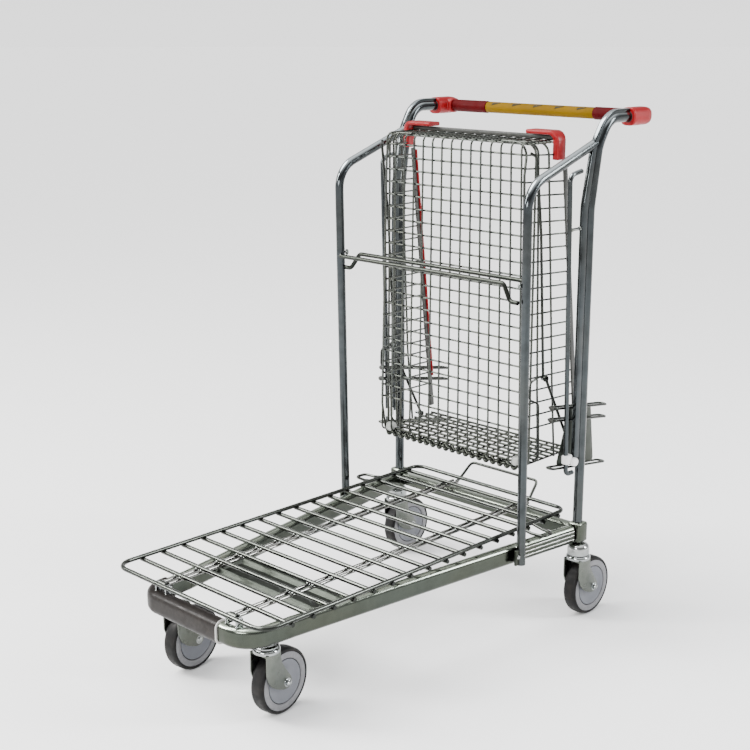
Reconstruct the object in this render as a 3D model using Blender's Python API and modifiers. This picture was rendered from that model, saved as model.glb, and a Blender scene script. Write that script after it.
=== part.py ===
"""Airport luggage trolley: a nesting flatbed cart with four swivel casters, a hinged wire
deck, a push handle between two bent uprights, and a wire basket that folds down over a
twin-rod crossbar.  Metres, +Z up, floor at Z = 0, front (bumper end) towards -Y."""

import math

import bmesh
import bpy
from mathutils import Matrix, Vector

GAP = 0.0003

# casters
WHEEL_RADIUS = 0.0625
TYRE_HALF_WIDTH = 0.0149
TRAIL = 0.0326
FRONT_STEM = (0.1268, -0.4237)
REAR_STEM = (0.2611, 0.3226)
FRONT_TURN = math.radians(6.0)
CROWN_BOTTOM = 0.1321
CROWN_TOP = 0.1402

# base frame
RAIL_WIDTH = 0.0235
RAIL_HEIGHT = 0.0385
BOW_Y = -0.4810
BOW_Z = 0.1696
RAIL_FRONT = (0.1439, -0.4280)
RAIL_SLOPE = 0.145
RAIL_JOIN_Y = -0.3799
RAIL_END_Y = 0.3060
RAIL_END_Z = 0.1846
BOW_CORNERS = ((-0.1434, 0.0385), (0.1391, 0.0535))
SLEEVE_THICKNESS = 0.0032
SLEEVE_END_X = 0.0749

# deck
DECK_FRONT_Y = -0.5025
DECK_REAR_Y = 0.3406
DECK_HALF_WIDTH = 0.2115
DECK_Z = 0.2204
DECK_RIM_R = 0.0043
DECK_ROD_R = 0.0034
DECK_ROD_PITCH = 0.0501
DECK_ROD_COUNT = 16
DECK_FIRST_ROD_Y = -0.4398
BEAM_X = 0.1011
BEAM_SPLIT = 0.0070
DECK_HINGE_Y = -0.4751
DECK_HINGE_Z = 0.2060

# uprights, side tubes, handle
UPRIGHT_X = 0.2547
UPRIGHT_Y = 0.3247
UPRIGHT_R = 0.0102
UPRIGHT_FOOT_Z = 0.1664
SIDE_TUBE_X = 0.2523
SIDE_TUBE_Y = 0.1316
SIDE_TUBE_R = 0.0091
SIDE_TUBE_FOOT = (0.2498, 0.1445, 0.1637)
KNEE_Z = 0.9159
HANDLE_X = 0.2582
HANDLE_Y = 0.4755
HANDLE_Z = 1.0336
CAP_R = 0.0182

# guides for the basket carriage
GUIDE_X = 0.2515
GUIDE_R = 0.0043
GUIDE_TOP = (0.2621, 0.9405)
GUIDE_BOTTOM = (0.2814, 0.3349)

# crossbar
CROSS_R = 0.0045
CROSS_REAR = (0.1445, 0.7388)
CROSS_FRONT = (0.1263, 0.7319)

# basket, folded upright: floor faces forward
FLOOR_Y = 0.2018
FLOOR_TOP_Z = 0.9823
FLOOR_BOTTOM_Z = 0.3585
FLOOR_TOP_HALF = 0.1808
FLOOR_BOTTOM_HALF = 0.1958
RIM_HALF = 0.2033
RIM_TOP = (0.3028, 0.9951)
RIM_BOTTOM = (0.3777, 0.3585)
GRID_WIRE = 0.0032
BAIL_R = 0.0028
LINK_R = 0.0030
BAIL_X = 0.2070
LINK_X = 0.2140
LINK_PIVOT = (0.3531, 0.3424)
BAIL_PIVOT = (0.2547, 0.5211)
FOLD_POLE = (0.0193, 0.6206)

# carriage: wire loops on a plate, riding beside the uprights
LOOPS = (((0.2379, 0.2456, 0.4661), (0.2220, 0.4472, 0.4330)),
         ((0.2379, 0.2434, 0.4414), (0.2220, 0.4465, 0.4065)),
         ((0.2379, 0.2432, 0.3398), (0.2220, 0.4483, 0.3061)))
LOOP_HALF = 0.0080
LOOP_WIRE_R = 0.0021
PLATE_X = 0.2311
PLATE_TIE_Y = 0.3317
PLATE_OUTLINE = ((0.2739, 0.3338), (0.4034, 0.3167), (0.3873, 0.4451), (0.3167, 0.4580))


def fresh_scene():
    for item in list(bpy.data.objects):
        bpy.data.objects.remove(item, do_unlink=True)
    for group in list(bpy.data.collections):
        bpy.data.collections.remove(group)


fresh_scene()
PARTS = bpy.data.collections.new("luggage_trolley")
HELPERS = bpy.data.collections.new("cutters")
bpy.context.scene.collection.children.link(PARTS)
bpy.context.scene.collection.children.link(HELPERS)


def material(name, colour, roughness, metallic):
    mat = bpy.data.materials.new(name)
    mat.use_nodes = True
    shader = mat.node_tree.nodes["Principled BSDF"]
    shader.inputs["Base Color"].default_value = (*colour, 1.0)
    shader.inputs["Roughness"].default_value = roughness
    shader.inputs["Metallic"].default_value = metallic
    return mat


ZINC = ("zinc", (0.62, 0.64, 0.63), 0.28, 1.0)
DARK_SLEEVE = ("bumper_grey", (0.13, 0.12, 0.115), 0.50, 0.0)
RED = ("cap_red", (0.72, 0.06, 0.06), 0.35, 0.0)
DARK_RED = ("sleeve_red", (0.42, 0.02, 0.03), 0.40, 0.0)
YELLOW = ("grip_yellow", (0.72, 0.50, 0.03), 0.40, 0.0)
GREY_PLASTIC = ("rim_grey", (0.12, 0.12, 0.11), 0.50, 0.0)
PALE_PLASTIC = ("foot_cap_grey", (0.55, 0.55, 0.52), 0.45, 0.0)
WHITE_PLASTIC = ("bush_white", (0.88, 0.88, 0.86), 0.35, 0.0)
TYRE = ("tyre_black", (0.025, 0.025, 0.027), 0.60, 0.0)
HUB = ("hub_grey", (0.42, 0.42, 0.45), 0.45, 0.0)


def finish(obj, name, look, smooth=True):
    """Name the object, give it a material of its own and put it in the trolley's collection."""
    obj.name = name
    obj.data.name = name
    obj.data.materials.clear()
    obj.data.materials.append(material(name + "_" + look[0], *look[1:]))
    for group in list(obj.users_collection):
        group.objects.unlink(obj)
    PARTS.objects.link(obj)
    if smooth and obj.type == "MESH":
        obj.data.shade_smooth()
        obj.data.set_sharp_from_angle(angle=math.radians(35))
    return obj


def keep_as_helper(obj, name):
    obj.name = name
    for group in list(obj.users_collection):
        group.objects.unlink(obj)
    HELPERS.objects.link(obj)
    obj.hide_render = True
    obj.display_type = "WIRE"
    return obj


def mesh_object(name, bm):
    mesh = bpy.data.meshes.new(name)
    bm.to_mesh(mesh)
    bm.free()
    obj = bpy.data.objects.new(name, mesh)
    PARTS.objects.link(obj)
    return obj


def curve_object(name, points, radius, sides_level=2, cyclic=False, caps=True):
    data = bpy.data.curves.new(name, "CURVE")
    data.dimensions = "3D"
    data.twist_mode = "MINIMUM"
    data.bevel_depth = radius
    data.bevel_resolution = sides_level
    data.use_fill_caps = caps and not cyclic
    spline = data.splines.new("POLY")
    spline.points.add(len(points) - 1)
    for target, point in zip(spline.points, points):
        target.co = (point[0], point[1], point[2], 1.0)
    spline.use_cyclic_u = cyclic
    obj = bpy.data.objects.new(name, data)
    PARTS.objects.link(obj)
    return obj


def as_mesh(curve):
    """The curve's evaluated surface as a welded mesh object."""
    bpy.context.view_layer.update()
    evaluated = curve.evaluated_get(bpy.context.evaluated_depsgraph_get())
    mesh = bpy.data.meshes.new_from_object(evaluated)
    bm = bmesh.new()
    bm.from_mesh(mesh)
    bmesh.ops.remove_doubles(bm, verts=bm.verts, dist=0.00001)
    bmesh.ops.recalc_face_normals(bm, faces=bm.faces)
    bm.to_mesh(mesh)
    bm.free()
    obj = bpy.data.objects.new(curve.name, mesh)
    obj.matrix_world = curve.matrix_world
    PARTS.objects.link(obj)
    bpy.data.objects.remove(curve, do_unlink=True)
    return obj


def tube(name, points, radius, look, sides_level=2, cyclic=False):
    return finish(curve_object(name, points, radius, sides_level, cyclic), name, look)


def tube_mesh(name, points, radius, sides_level=2, cyclic=False):
    return as_mesh(curve_object(name, points, radius, sides_level, cyclic))


def box_mesh(name, size, centre, turn=(0.0, 0.0, 0.0), bevel=0.0):
    bm = bmesh.new()
    bmesh.ops.create_cube(bm, size=1.0)
    bmesh.ops.scale(bm, vec=size, verts=bm.verts)
    obj = mesh_object(name, bm)
    obj.location = centre
    obj.rotation_euler = turn
    if bevel:
        modifier = obj.modifiers.new("edge", "BEVEL")
        modifier.width = bevel
        modifier.segments = 2
    return obj


def cylinder_mesh(name, radius, length, centre, axis, sides=16):
    bm = bmesh.new()
    bmesh.ops.create_cone(bm, cap_ends=True, segments=sides, radius1=radius, radius2=radius, depth=length)
    obj = mesh_object(name, bm)
    obj.location = centre
    obj.rotation_mode = "QUATERNION"
    obj.rotation_quaternion = Vector((0, 0, 1)).rotation_difference(Vector(axis))
    return obj


def turned(name, profile, centre, axis, steps=20, closed=False):
    """Screw a profile of (radius, height) pairs, listed down its outer side, about an axis."""
    bm = bmesh.new()
    ring = [bm.verts.new((radius, 0.0, height)) for radius, height in profile]
    for start, end in zip(ring, ring[1:]):
        bm.edges.new((start, end))
    if closed:
        bm.edges.new((ring[-1], ring[0]))
    obj = mesh_object(name, bm)
    spin = obj.modifiers.new("spin", "SCREW")
    spin.steps = steps
    spin.render_steps = steps
    spin.use_merge_vertices = True
    spin.merge_threshold = 0.00001
    obj.location = centre
    obj.rotation_mode = "QUATERNION"
    obj.rotation_quaternion = Vector((0, 0, 1)).rotation_difference(Vector(axis))
    return obj


def join_solids(base, others):
    """Boolean union of touching solids into one body; the operands stay as helpers."""
    for index, other in enumerate(others):
        modifier = base.modifiers.new("join_%d" % index, "BOOLEAN")
        modifier.operation = "UNION"
        modifier.solver = "EXACT"
        modifier.object = keep_as_helper(other, base.name + "_join_%d" % index)
    return base


def cut_away(base, others):
    for index, other in enumerate(others):
        modifier = base.modifiers.new("cut_%d" % index, "BOOLEAN")
        modifier.operation = "DIFFERENCE"
        modifier.solver = "EXACT"
        modifier.object = keep_as_helper(other, base.name + "_cut_%d" % index)
    return base


def rounded(points, radius, steps=5, closed=False):
    """A polyline with its corners replaced by arcs."""
    points = [Vector(p) for p in points]
    count = len(points)
    result = []
    for index, corner in enumerate(points):
        if not closed and index in (0, count - 1):
            result.append(corner)
            continue
        before = points[index - 1] - corner
        after = points[(index + 1) % count] - corner
        half = before.angle(after) / 2.0
        size = radius[index] if isinstance(radius, (list, tuple)) else radius
        reach = min(size / math.tan(half), 0.49 * before.length, 0.49 * after.length)
        arc_radius = reach * math.tan(half)
        before.normalize()
        after.normalize()
        centre = corner + (before + after).normalized() * (arc_radius / math.sin(half))
        first = corner + before * reach - centre
        last = corner + after * reach - centre
        sweep = first.angle(last)
        for step in range(steps + 1):
            part = step / steps
            weight_a = math.sin((1.0 - part) * sweep) / math.sin(sweep)
            weight_b = math.sin(part * sweep) / math.sin(sweep)
            result.append(centre + first * weight_a + last * weight_b)
    return result


def side_points(points, side):
    return [(side * p[0], p[1], p[2]) for p in points]


SIDES = (("right", 1.0), ("left", -1.0))


# ---------------------------------------------------------------- casters
def build_caster(name, stem, head_top, turn):
    """One caster; turn is how far its trailing wheel has swung about the stem."""
    spin = Matrix.Rotation(turn, 4, "Z")
    stem_at = Vector((stem[0], stem[1], 0.0))
    axle = stem_at + spin @ Vector((0.0, TRAIL, WHEEL_RADIUS))
    across = spin @ Vector((1.0 if stem[0] > 0 else -1.0, 0.0, 0.0))
    half = TYRE_HALF_WIDTH
    radius = WHEEL_RADIUS

    head = turned(
        name + "_head",
        [(0.0, head_top), (0.0128, head_top), (0.0193, head_top - 0.0013),
         (0.0230, CROWN_TOP + 0.0030), (0.0230, CROWN_TOP + GAP), (0.0, CROWN_TOP + GAP)],
        stem_at, (0, 0, 1), steps=20)
    finish(head, name + "_head", ZINC)

    crown = turned(
        name + "_fork",
        [(0.0, CROWN_TOP), (0.0193, CROWN_TOP), (0.0241, CROWN_TOP - 0.0021),
         (0.0257, CROWN_TOP - 0.0048), (0.0257, CROWN_BOTTOM), (0.0, CROWN_BOTTOM)],
        stem_at, (0, 0, 1), steps=20)
    pieces = []
    leg_outline = [(-0.0214, CROWN_BOTTOM + 0.0032), (-0.0214, 0.0920), (-0.0150, 0.0738),
                   (0.0021, 0.0599), (0.0235, 0.0514), (0.0375, 0.0514), (0.0444, 0.0599),
                   (0.0423, 0.0717), (0.0278, 0.0920), (0.0161, 0.1113), (0.0161, CROWN_BOTTOM + 0.0032)]
    for label, offset in (("a", 0.0195), ("b", -0.0195)):
        bm = bmesh.new()
        ring = [bm.verts.new((offset - 0.0014, y, z)) for y, z in leg_outline]
        face = bm.faces.new(ring)
        grown = bmesh.ops.extrude_face_region(bm, geom=[face])
        moved = [v for v in grown["geom"] if isinstance(v, bmesh.types.BMVert)]
        bmesh.ops.translate(bm, vec=(0.0028, 0.0, 0.0), verts=moved)
        bmesh.ops.recalc_face_normals(bm, faces=bm.faces)
        leg = mesh_object(name + "_leg_" + label, bm)
        leg.location = stem_at
        leg.rotation_euler.z = turn
        pieces.append(leg)
    pieces.append(turned(
        name + "_axle",
        [(0.0, 0.0284), (0.0048, 0.0270), (0.0064, 0.0246), (0.0091, 0.0238), (0.0091, 0.0198),
         (0.0056, 0.0198), (0.0056, -0.0198), (0.0091, -0.0198), (0.0091, -0.0246),
         (0.0, -0.0246)],
        axle, across, steps=12))
    finish(join_solids(crown, pieces), name + "_fork", ZINC)

    tyre = turned(
        name + "_tyre",
        [(0.0535, half - 0.0006), (0.0562, half), (0.0601, half - 0.0011), (radius, half - 0.0043),
         (radius, 0.0043 - half), (0.0601, 0.0011 - half), (0.0562, -half), (0.0535, 0.0006 - half)],
        axle, across, steps=28, closed=True)
    finish(tyre, name + "_tyre", TYRE)

    hub = turned(
        name + "_hub",
        [(0.0060, 0.0171), (0.0134, 0.0171), (0.0134, 0.0139), (0.0532, half - 0.0006),
         (0.0532, 0.0006 - half), (0.0134, -0.0139), (0.0134, -0.0171), (0.0060, -0.0171)],
        axle, across, steps=28, closed=True)
    finish(hub, name + "_hub", HUB)


# ---------------------------------------------------------------- base frame
def rail_x(y):
    return RAIL_FRONT[0] + RAIL_SLOPE * (y - RAIL_FRONT[1])


def rail_z(y):
    part = (y - BOW_Y) / (RAIL_END_Y - BOW_Y)
    return BOW_Z + (RAIL_END_Z - BOW_Z) * part


def rail_section(width, height, corner):
    """Rounded rectangle, as a flat closed curve used as the tube's section."""
    data = bpy.data.curves.new("section", "CURVE")
    data.dimensions = "2D"
    spline = data.splines.new("POLY")
    half_w, half_h = width / 2.0, height / 2.0
    corners = [(half_w, half_h, 0), (-half_w, half_h, 0), (-half_w, -half_h, 0), (half_w, -half_h, 0)]
    ring = rounded(corners, corner, steps=2, closed=True)
    spline.points.add(len(ring) - 1)
    for target, point in zip(spline.points, ring):
        target.co = (point.x, point.y, 0.0, 1.0)
    spline.use_cyclic_u = True
    return keep_as_helper(bpy.data.objects.new("section", data), "rail_section")


def section_tube(name, points, width, height, corner, caps=True):
    curve = curve_object(name, points, 0.0, 0, False, caps)
    curve.data.bevel_mode = "OBJECT"
    curve.data.bevel_object = rail_section(width, height, corner)
    curve.data.twist_mode = "Z_UP"
    curve.data.use_fill_caps = caps
    return as_mesh(curve)


def bow_path():
    end_y = RAIL_JOIN_Y
    (left_x, left_radius), (right_x, right_radius) = BOW_CORNERS
    outline = [(-rail_x(end_y), end_y, rail_z(end_y)), (left_x, BOW_Y, BOW_Z),
               (right_x, BOW_Y, BOW_Z), (rail_x(end_y), end_y, rail_z(end_y))]
    return rounded(outline, (0.0, left_radius, right_radius, 0.0), steps=7)


def build_base():
    bow = section_tube("base_front_bow", bow_path(), RAIL_WIDTH, RAIL_HEIGHT, 0.0075)
    lugs = []
    for label, side in SIDES:
        lugs.append(box_mesh("lug", (0.0043, 0.0150, 0.0214),
                             (side * (BEAM_X + 0.0144), DECK_HINGE_Y, 0.1990)))
        lugs.append(box_mesh("lug", (0.0043, 0.0150, 0.0214),
                             (side * (BEAM_X - 0.0144), DECK_HINGE_Y, 0.1990)))
        lugs.append(cylinder_mesh("lug_pin", 0.0024, 0.0321, (side * BEAM_X, DECK_HINGE_Y, DECK_HINGE_Z),
                                  (1, 0, 0), 8))
        lugs.append(cylinder_mesh("mount", 0.0289, 0.0075, (side * FRONT_STEM[0], FRONT_STEM[1], 0.1499),
                                  (0, 0, 1), 20))
    finish(join_solids(bow, lugs), "base_front_bow", ZINC)

    path = bow_path()
    covered = [path[0].lerp(path[1], 0.8)] + [p for p in path[1:] if p.x < 0.0]
    covered.append(Vector((SLEEVE_END_X, BOW_Y, BOW_Z)))
    shell = section_tube("bumper_sleeve", covered, RAIL_WIDTH + 2 * GAP, RAIL_HEIGHT + 2 * GAP,
                         0.0078, caps=False)
    wall = shell.modifiers.new("wall", "SOLIDIFY")
    wall.thickness = SLEEVE_THICKNESS
    wall.offset = 1.0
    wall.use_even_offset = True
    slots = [box_mesh("slot", (0.0396, 0.0214, 0.0342), (-BEAM_X, DECK_HINGE_Y, 0.1969)),
             cylinder_mesh("notch", 0.0295, 0.0193, (-FRONT_STEM[0], FRONT_STEM[1], 0.1453), (0, 0, 1), 20)]
    finish(cut_away(shell, slots), "bumper_sleeve", DARK_SLEEVE)

    for label, side in SIDES:
        start_y = RAIL_JOIN_Y + 0.0017
        run = [(side * rail_x(y), y, rail_z(y)) for y in (start_y, RAIL_END_Y)]
        rail = section_tube("base_rail_" + label, run, RAIL_WIDTH, RAIL_HEIGHT, 0.0075)
        finish(rail, "base_rail_" + label, ZINC)

    plate_y = -0.2718
    half_plate = rail_x(plate_y - 0.0481) - RAIL_WIDTH / 2.0 - 0.0013
    plate = box_mesh("base_cross_plate", (2 * half_plate, 0.0963, 0.0032), (0.0, plate_y, 0.1669))
    ribs = [box_mesh("rib", (2 * half_plate, 0.0171, 0.0107), (0.0, plate_y + offset, 0.1712), bevel=0.0032)
            for offset in (-0.0385, 0.0385)]
    ribs.append(cylinder_mesh("bolt", 0.0064, 0.0064, (0.0, plate_y, 0.1712), (0, 0, 1), 8))
    finish(join_solids(plate, ribs), "base_cross_plate", ZINC, smooth=False)

    beam = box_mesh("base_rear_beam", (2 * (UPRIGHT_X - UPRIGHT_R - 0.0045), 0.0257, 0.0268),
                    (0.0, UPRIGHT_Y + 0.0021, 0.1867), bevel=0.0054)
    finish(beam, "base_rear_beam", ZINC)


# ---------------------------------------------------------------- deck
def build_deck():
    corners = [(DECK_HALF_WIDTH, DECK_FRONT_Y, DECK_Z), (DECK_HALF_WIDTH, DECK_REAR_Y, DECK_Z),
               (-DECK_HALF_WIDTH, DECK_REAR_Y, DECK_Z), (-DECK_HALF_WIDTH, DECK_FRONT_Y, DECK_Z)]
    rim = tube_mesh("deck_grid", rounded(corners, (0.0321, 0.0235, 0.0235, 0.0321), 5, True),
                    DECK_RIM_R, 1, True)
    rods = []
    rod_z = DECK_Z - 0.0064
    bm = bmesh.new()
    for index in range(DECK_ROD_COUNT):
        y = DECK_FIRST_ROD_Y + index * DECK_ROD_PITCH
        lie = Matrix.Translation((0.0, y, rod_z)) @ Matrix.Rotation(math.pi / 2.0, 4, "Y")
        bmesh.ops.create_cone(bm, cap_ends=True, segments=6, radius1=DECK_ROD_R, radius2=DECK_ROD_R,
                              depth=2.0 * (DECK_HALF_WIDTH + 0.0032), matrix=lie)
    rods.append(mesh_object("rods", bm))
    for label, side in SIDES:
        loop = rounded([(side * (DECK_HALF_WIDTH - 0.0011), 0.1905, DECK_Z - 0.0011),
                        (side * 0.2386, 0.1915, 0.2140), (side * 0.2675, 0.1947, 0.2140),
                        (side * 0.2675, 0.2226, 0.2140), (side * 0.2386, 0.2258, 0.2140),
                        (side * (DECK_HALF_WIDTH - 0.0011), 0.2268, DECK_Z - 0.0011)], 0.0096, 3)
        rods.append(tube_mesh("side_loop", loop, 0.0032, 1))
    finish(join_solids(rim, rods), "deck_grid", ZINC)

    beam_z = rod_z - DECK_ROD_R - DECK_ROD_R - GAP
    for label, side in SIDES:
        x = side * BEAM_X
        front_y = DECK_HINGE_Y
        twins = []
        for offset in (-BEAM_SPLIT, BEAM_SPLIT):
            twins.append(tube_mesh("twin", [(x + offset, front_y + 0.0043, beam_z),
                                            (x + offset, DECK_REAR_Y + 0.0064, beam_z)], 0.0032, 1))
        ties = [cylinder_mesh("tie", 0.0028, 2 * BEAM_SPLIT, (x, y, beam_z), (1, 0, 0), 6)
                for y in (-0.3745, -0.0535, 0.2675)]
        eye = cylinder_mesh("eye", 0.0064, 0.0203, (x, DECK_HINGE_Y, DECK_HINGE_Z), (1, 0, 0), 12)
        beam = join_solids(twins[0], [twins[1], eye] + ties)
        beam.name = "deck_beam_" + label
        bore = cylinder_mesh("bore", 0.0028, 0.0428, (x, DECK_HINGE_Y, DECK_HINGE_Z), (1, 0, 0), 12)
        finish(cut_away(beam, [bore]), "deck_beam_" + label, ZINC)

    lift = rounded([(0.1000, DECK_REAR_Y + 0.0070, beam_z), (0.1000, DECK_REAR_Y + 0.0171, beam_z + 0.0011),
                    (0.0942, 0.3948, 0.2420), (-0.0942, 0.3948, 0.2420),
                    (-0.1000, DECK_REAR_Y + 0.0171, beam_z + 0.0011),
                    (-0.1000, DECK_REAR_Y + 0.0070, beam_z)], 0.0107, 4)
    tube("deck_lift_loop", lift, 0.0032, ZINC, 1)


# ---------------------------------------------------------------- uprights and side tubes
def upright_path():
    return rounded([(UPRIGHT_X, UPRIGHT_Y, UPRIGHT_FOOT_Z + 0.0128), (UPRIGHT_X, UPRIGHT_Y, 0.8614),
                    (HANDLE_X - 0.0021, UPRIGHT_Y + 0.0182, 0.9823),
                    (HANDLE_X, UPRIGHT_Y + 0.0471, 1.0336),
                    (HANDLE_X, HANDLE_Y - CAP_R - 0.0193, HANDLE_Z)],
                   (0.0, 0.1712, 0.0749, 0.0449, 0.0), 5)


def build_uprights():
    for label, side in SIDES:
        main = tube_mesh("upright_" + label, side_points(upright_path(), side), UPRIGHT_R, 2)
        foot = box_mesh("foot", (0.0300, 0.0310, 0.0428),
                        (side * (UPRIGHT_X + 0.0011), UPRIGHT_Y, UPRIGHT_FOOT_Z + 0.0214), bevel=0.0032)
        strip_y = UPRIGHT_Y - UPRIGHT_R - 0.0075
        strip_path = [(UPRIGHT_X, strip_y, 0.3531), (UPRIGHT_X, strip_y, 0.8560),
                      (UPRIGHT_X, strip_y + 0.0086, 0.9202), (UPRIGHT_X, strip_y + 0.0182, 0.9662)]
        strip = section_tube("strip", side_points(strip_path, side), 0.0107, 0.0161, 0.0021)
        finish(join_solids(main, [foot, strip]), "upright_" + label, ZINC)

        knee = (SIDE_TUBE_X, SIDE_TUBE_Y, KNEE_Z)
        end = (SIDE_TUBE_X + 0.0011, UPRIGHT_Y + 0.0160, 0.9884)
        path = rounded([SIDE_TUBE_FOOT, knee, end], 0.0589, 7)
        post = tube_mesh("side_tube_" + label, side_points(path, side), SIDE_TUBE_R, 2)
        foot_x, foot_y, foot_z = SIDE_TUBE_FOOT
        tab = box_mesh("tab", (0.0064, 0.0150, 0.0321),
                       (side * (foot_x - 0.0005), foot_y - 0.0107, foot_z + 0.0171))
        saddle = tube_mesh("saddle", side_points(upright_path(), side), UPRIGHT_R + 0.0006, 2)
        post = join_solids(post, [tab])
        post.name = "side_tube_" + label
        finish(cut_away(post, [saddle]), "side_tube_" + label, ZINC)

        top_y, top_z = GUIDE_TOP
        low_y, low_z = GUIDE_BOTTOM
        slope = (low_y - top_y) / (low_z - top_z)
        guide = rounded([(GUIDE_X, UPRIGHT_Y - UPRIGHT_R - 0.0161, top_z - 0.0043),
                         (GUIDE_X, top_y, top_z - 0.0107), (GUIDE_X, low_y, low_z - 0.0139),
                         (GUIDE_X, UPRIGHT_Y - UPRIGHT_R - 0.0011, low_z - 0.0139)], 0.0128, 4)
        rod = tube_mesh("guide_rod_" + label, side_points(guide, side), GUIDE_R, 1)
        bridge_z = 0.8239
        bridge_y = top_y + slope * (bridge_z - top_z)
        bridge = tube_mesh("bridge", side_points([(GUIDE_X, bridge_y, bridge_z),
                                                  (GUIDE_X, strip_y - 0.0086, bridge_z)], side), 0.0032, 1)
        finish(join_solids(rod, [bridge]), "guide_rod_" + label, ZINC)


def build_crossbar():
    """Two rods side by side; each has one straight end and one end curled down to the tube."""
    inner = SIDE_TUBE_X - SIDE_TUBE_R - 0.0009
    for name, side, place in (("crossbar_rear", 1.0, CROSS_REAR), ("crossbar_front", -1.0, CROSS_FRONT)):
        y, z = place
        low_y, low_z = y - 0.0054, z - 0.0321
        path = rounded([(side * inner, y, z), (-side * 0.2033, y, z),
                        (-side * 0.2247, low_y, low_z), (-side * inner, low_y, low_z)], 0.0107, 4)
        tube(name, path, CROSS_R, ZINC, 2)


def build_handle():
    for label, side in SIDES:
        start = HANDLE_Y - CAP_R - 0.0214
        body = turned("handle_cap_" + label,
                      [(0.0, 0.0505), (0.0075, 0.0494), (0.0134, 0.0455), (CAP_R - 0.0011, 0.0375),
                       (CAP_R, 0.0289), (CAP_R, -0.0193), (CAP_R - 0.0011, -0.0203), (0.0, -0.0203)],
                      (side * HANDLE_X, start + 0.0203, HANDLE_Z), (0, 1, 0), steps=20)
        collar = cylinder_mesh("collar", 0.0155, 0.0300, (side * (HANDLE_X - 0.0118), HANDLE_Y, HANDLE_Z),
                               (1, 0, 0), 20)
        socket = cylinder_mesh("socket", UPRIGHT_R + 0.0009, 0.0321,
                               (side * HANDLE_X, start, HANDLE_Z), (0, 1, 0), 16)
        seat = cylinder_mesh("seat", 0.0105, 0.0257, (side * (HANDLE_X - 0.0171), HANDLE_Y, HANDLE_Z),
                             (1, 0, 0), 16)
        cap = cut_away(join_solids(body, [collar]), [socket, seat])
        finish(cap, "handle_cap_" + label, RED)

    core_half = HANDLE_X - 0.0054
    core = cylinder_mesh("handle_bar", 0.0096, 2 * core_half, (0, HANDLE_Y, HANDLE_Z), (1, 0, 0), 16)
    finish(core, "handle_bar", ZINC)
    spans = (("handle_grip", YELLOW, -0.1338, 0.1519, 0.0120),
             ("handle_sleeve_left", DARK_RED, -0.2301, -0.1341, 0.0131),
             ("handle_sleeve_right", DARK_RED, 0.1523, 0.2301, 0.0131))
    for name, look, start, end, radius in spans:
        middle = (start + end) / 2.0
        half = (end - start) / 2.0
        ring = turned(name, [(0.0100, half), (radius - 0.0011, half), (radius, half - 0.0011),
                             (radius, 0.0011 - half), (radius - 0.0011, -half), (0.0100, -half)],
                      (middle, HANDLE_Y, HANDLE_Z), (1, 0, 0), steps=16, closed=True)
        finish(ring, name, look)


# ---------------------------------------------------------------- basket
def floor_half(z):
    part = (FLOOR_TOP_Z - z) / (FLOOR_TOP_Z - FLOOR_BOTTOM_Z)
    return FLOOR_TOP_HALF + (FLOOR_BOTTOM_HALF - FLOOR_TOP_HALF) * part


def rim_y(z):
    part = (RIM_TOP[1] - z) / (RIM_TOP[1] - RIM_BOTTOM[1])
    return RIM_TOP[0] + (RIM_BOTTOM[0] - RIM_TOP[0]) * part


def lattice(name, cells, place):
    """A flat wire lattice: a grid laid out by place(u, v), u and v from 0 to 1, then wired."""
    bm = bmesh.new()
    bmesh.ops.create_grid(bm, x_segments=cells[0], y_segments=cells[1], size=0.5)
    for vert in bm.verts:
        vert.co = place(vert.co.x + 0.5, vert.co.y + 0.5)
    obj = mesh_object(name, bm)
    wires = obj.modifiers.new("wires", "WIREFRAME")
    wires.thickness = GRID_WIRE
    wires.use_boundary = True
    wires.use_even_offset = True
    wires.use_replace = True
    wires.offset = 0.0
    return finish(obj, name, ZINC, smooth=False)


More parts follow.
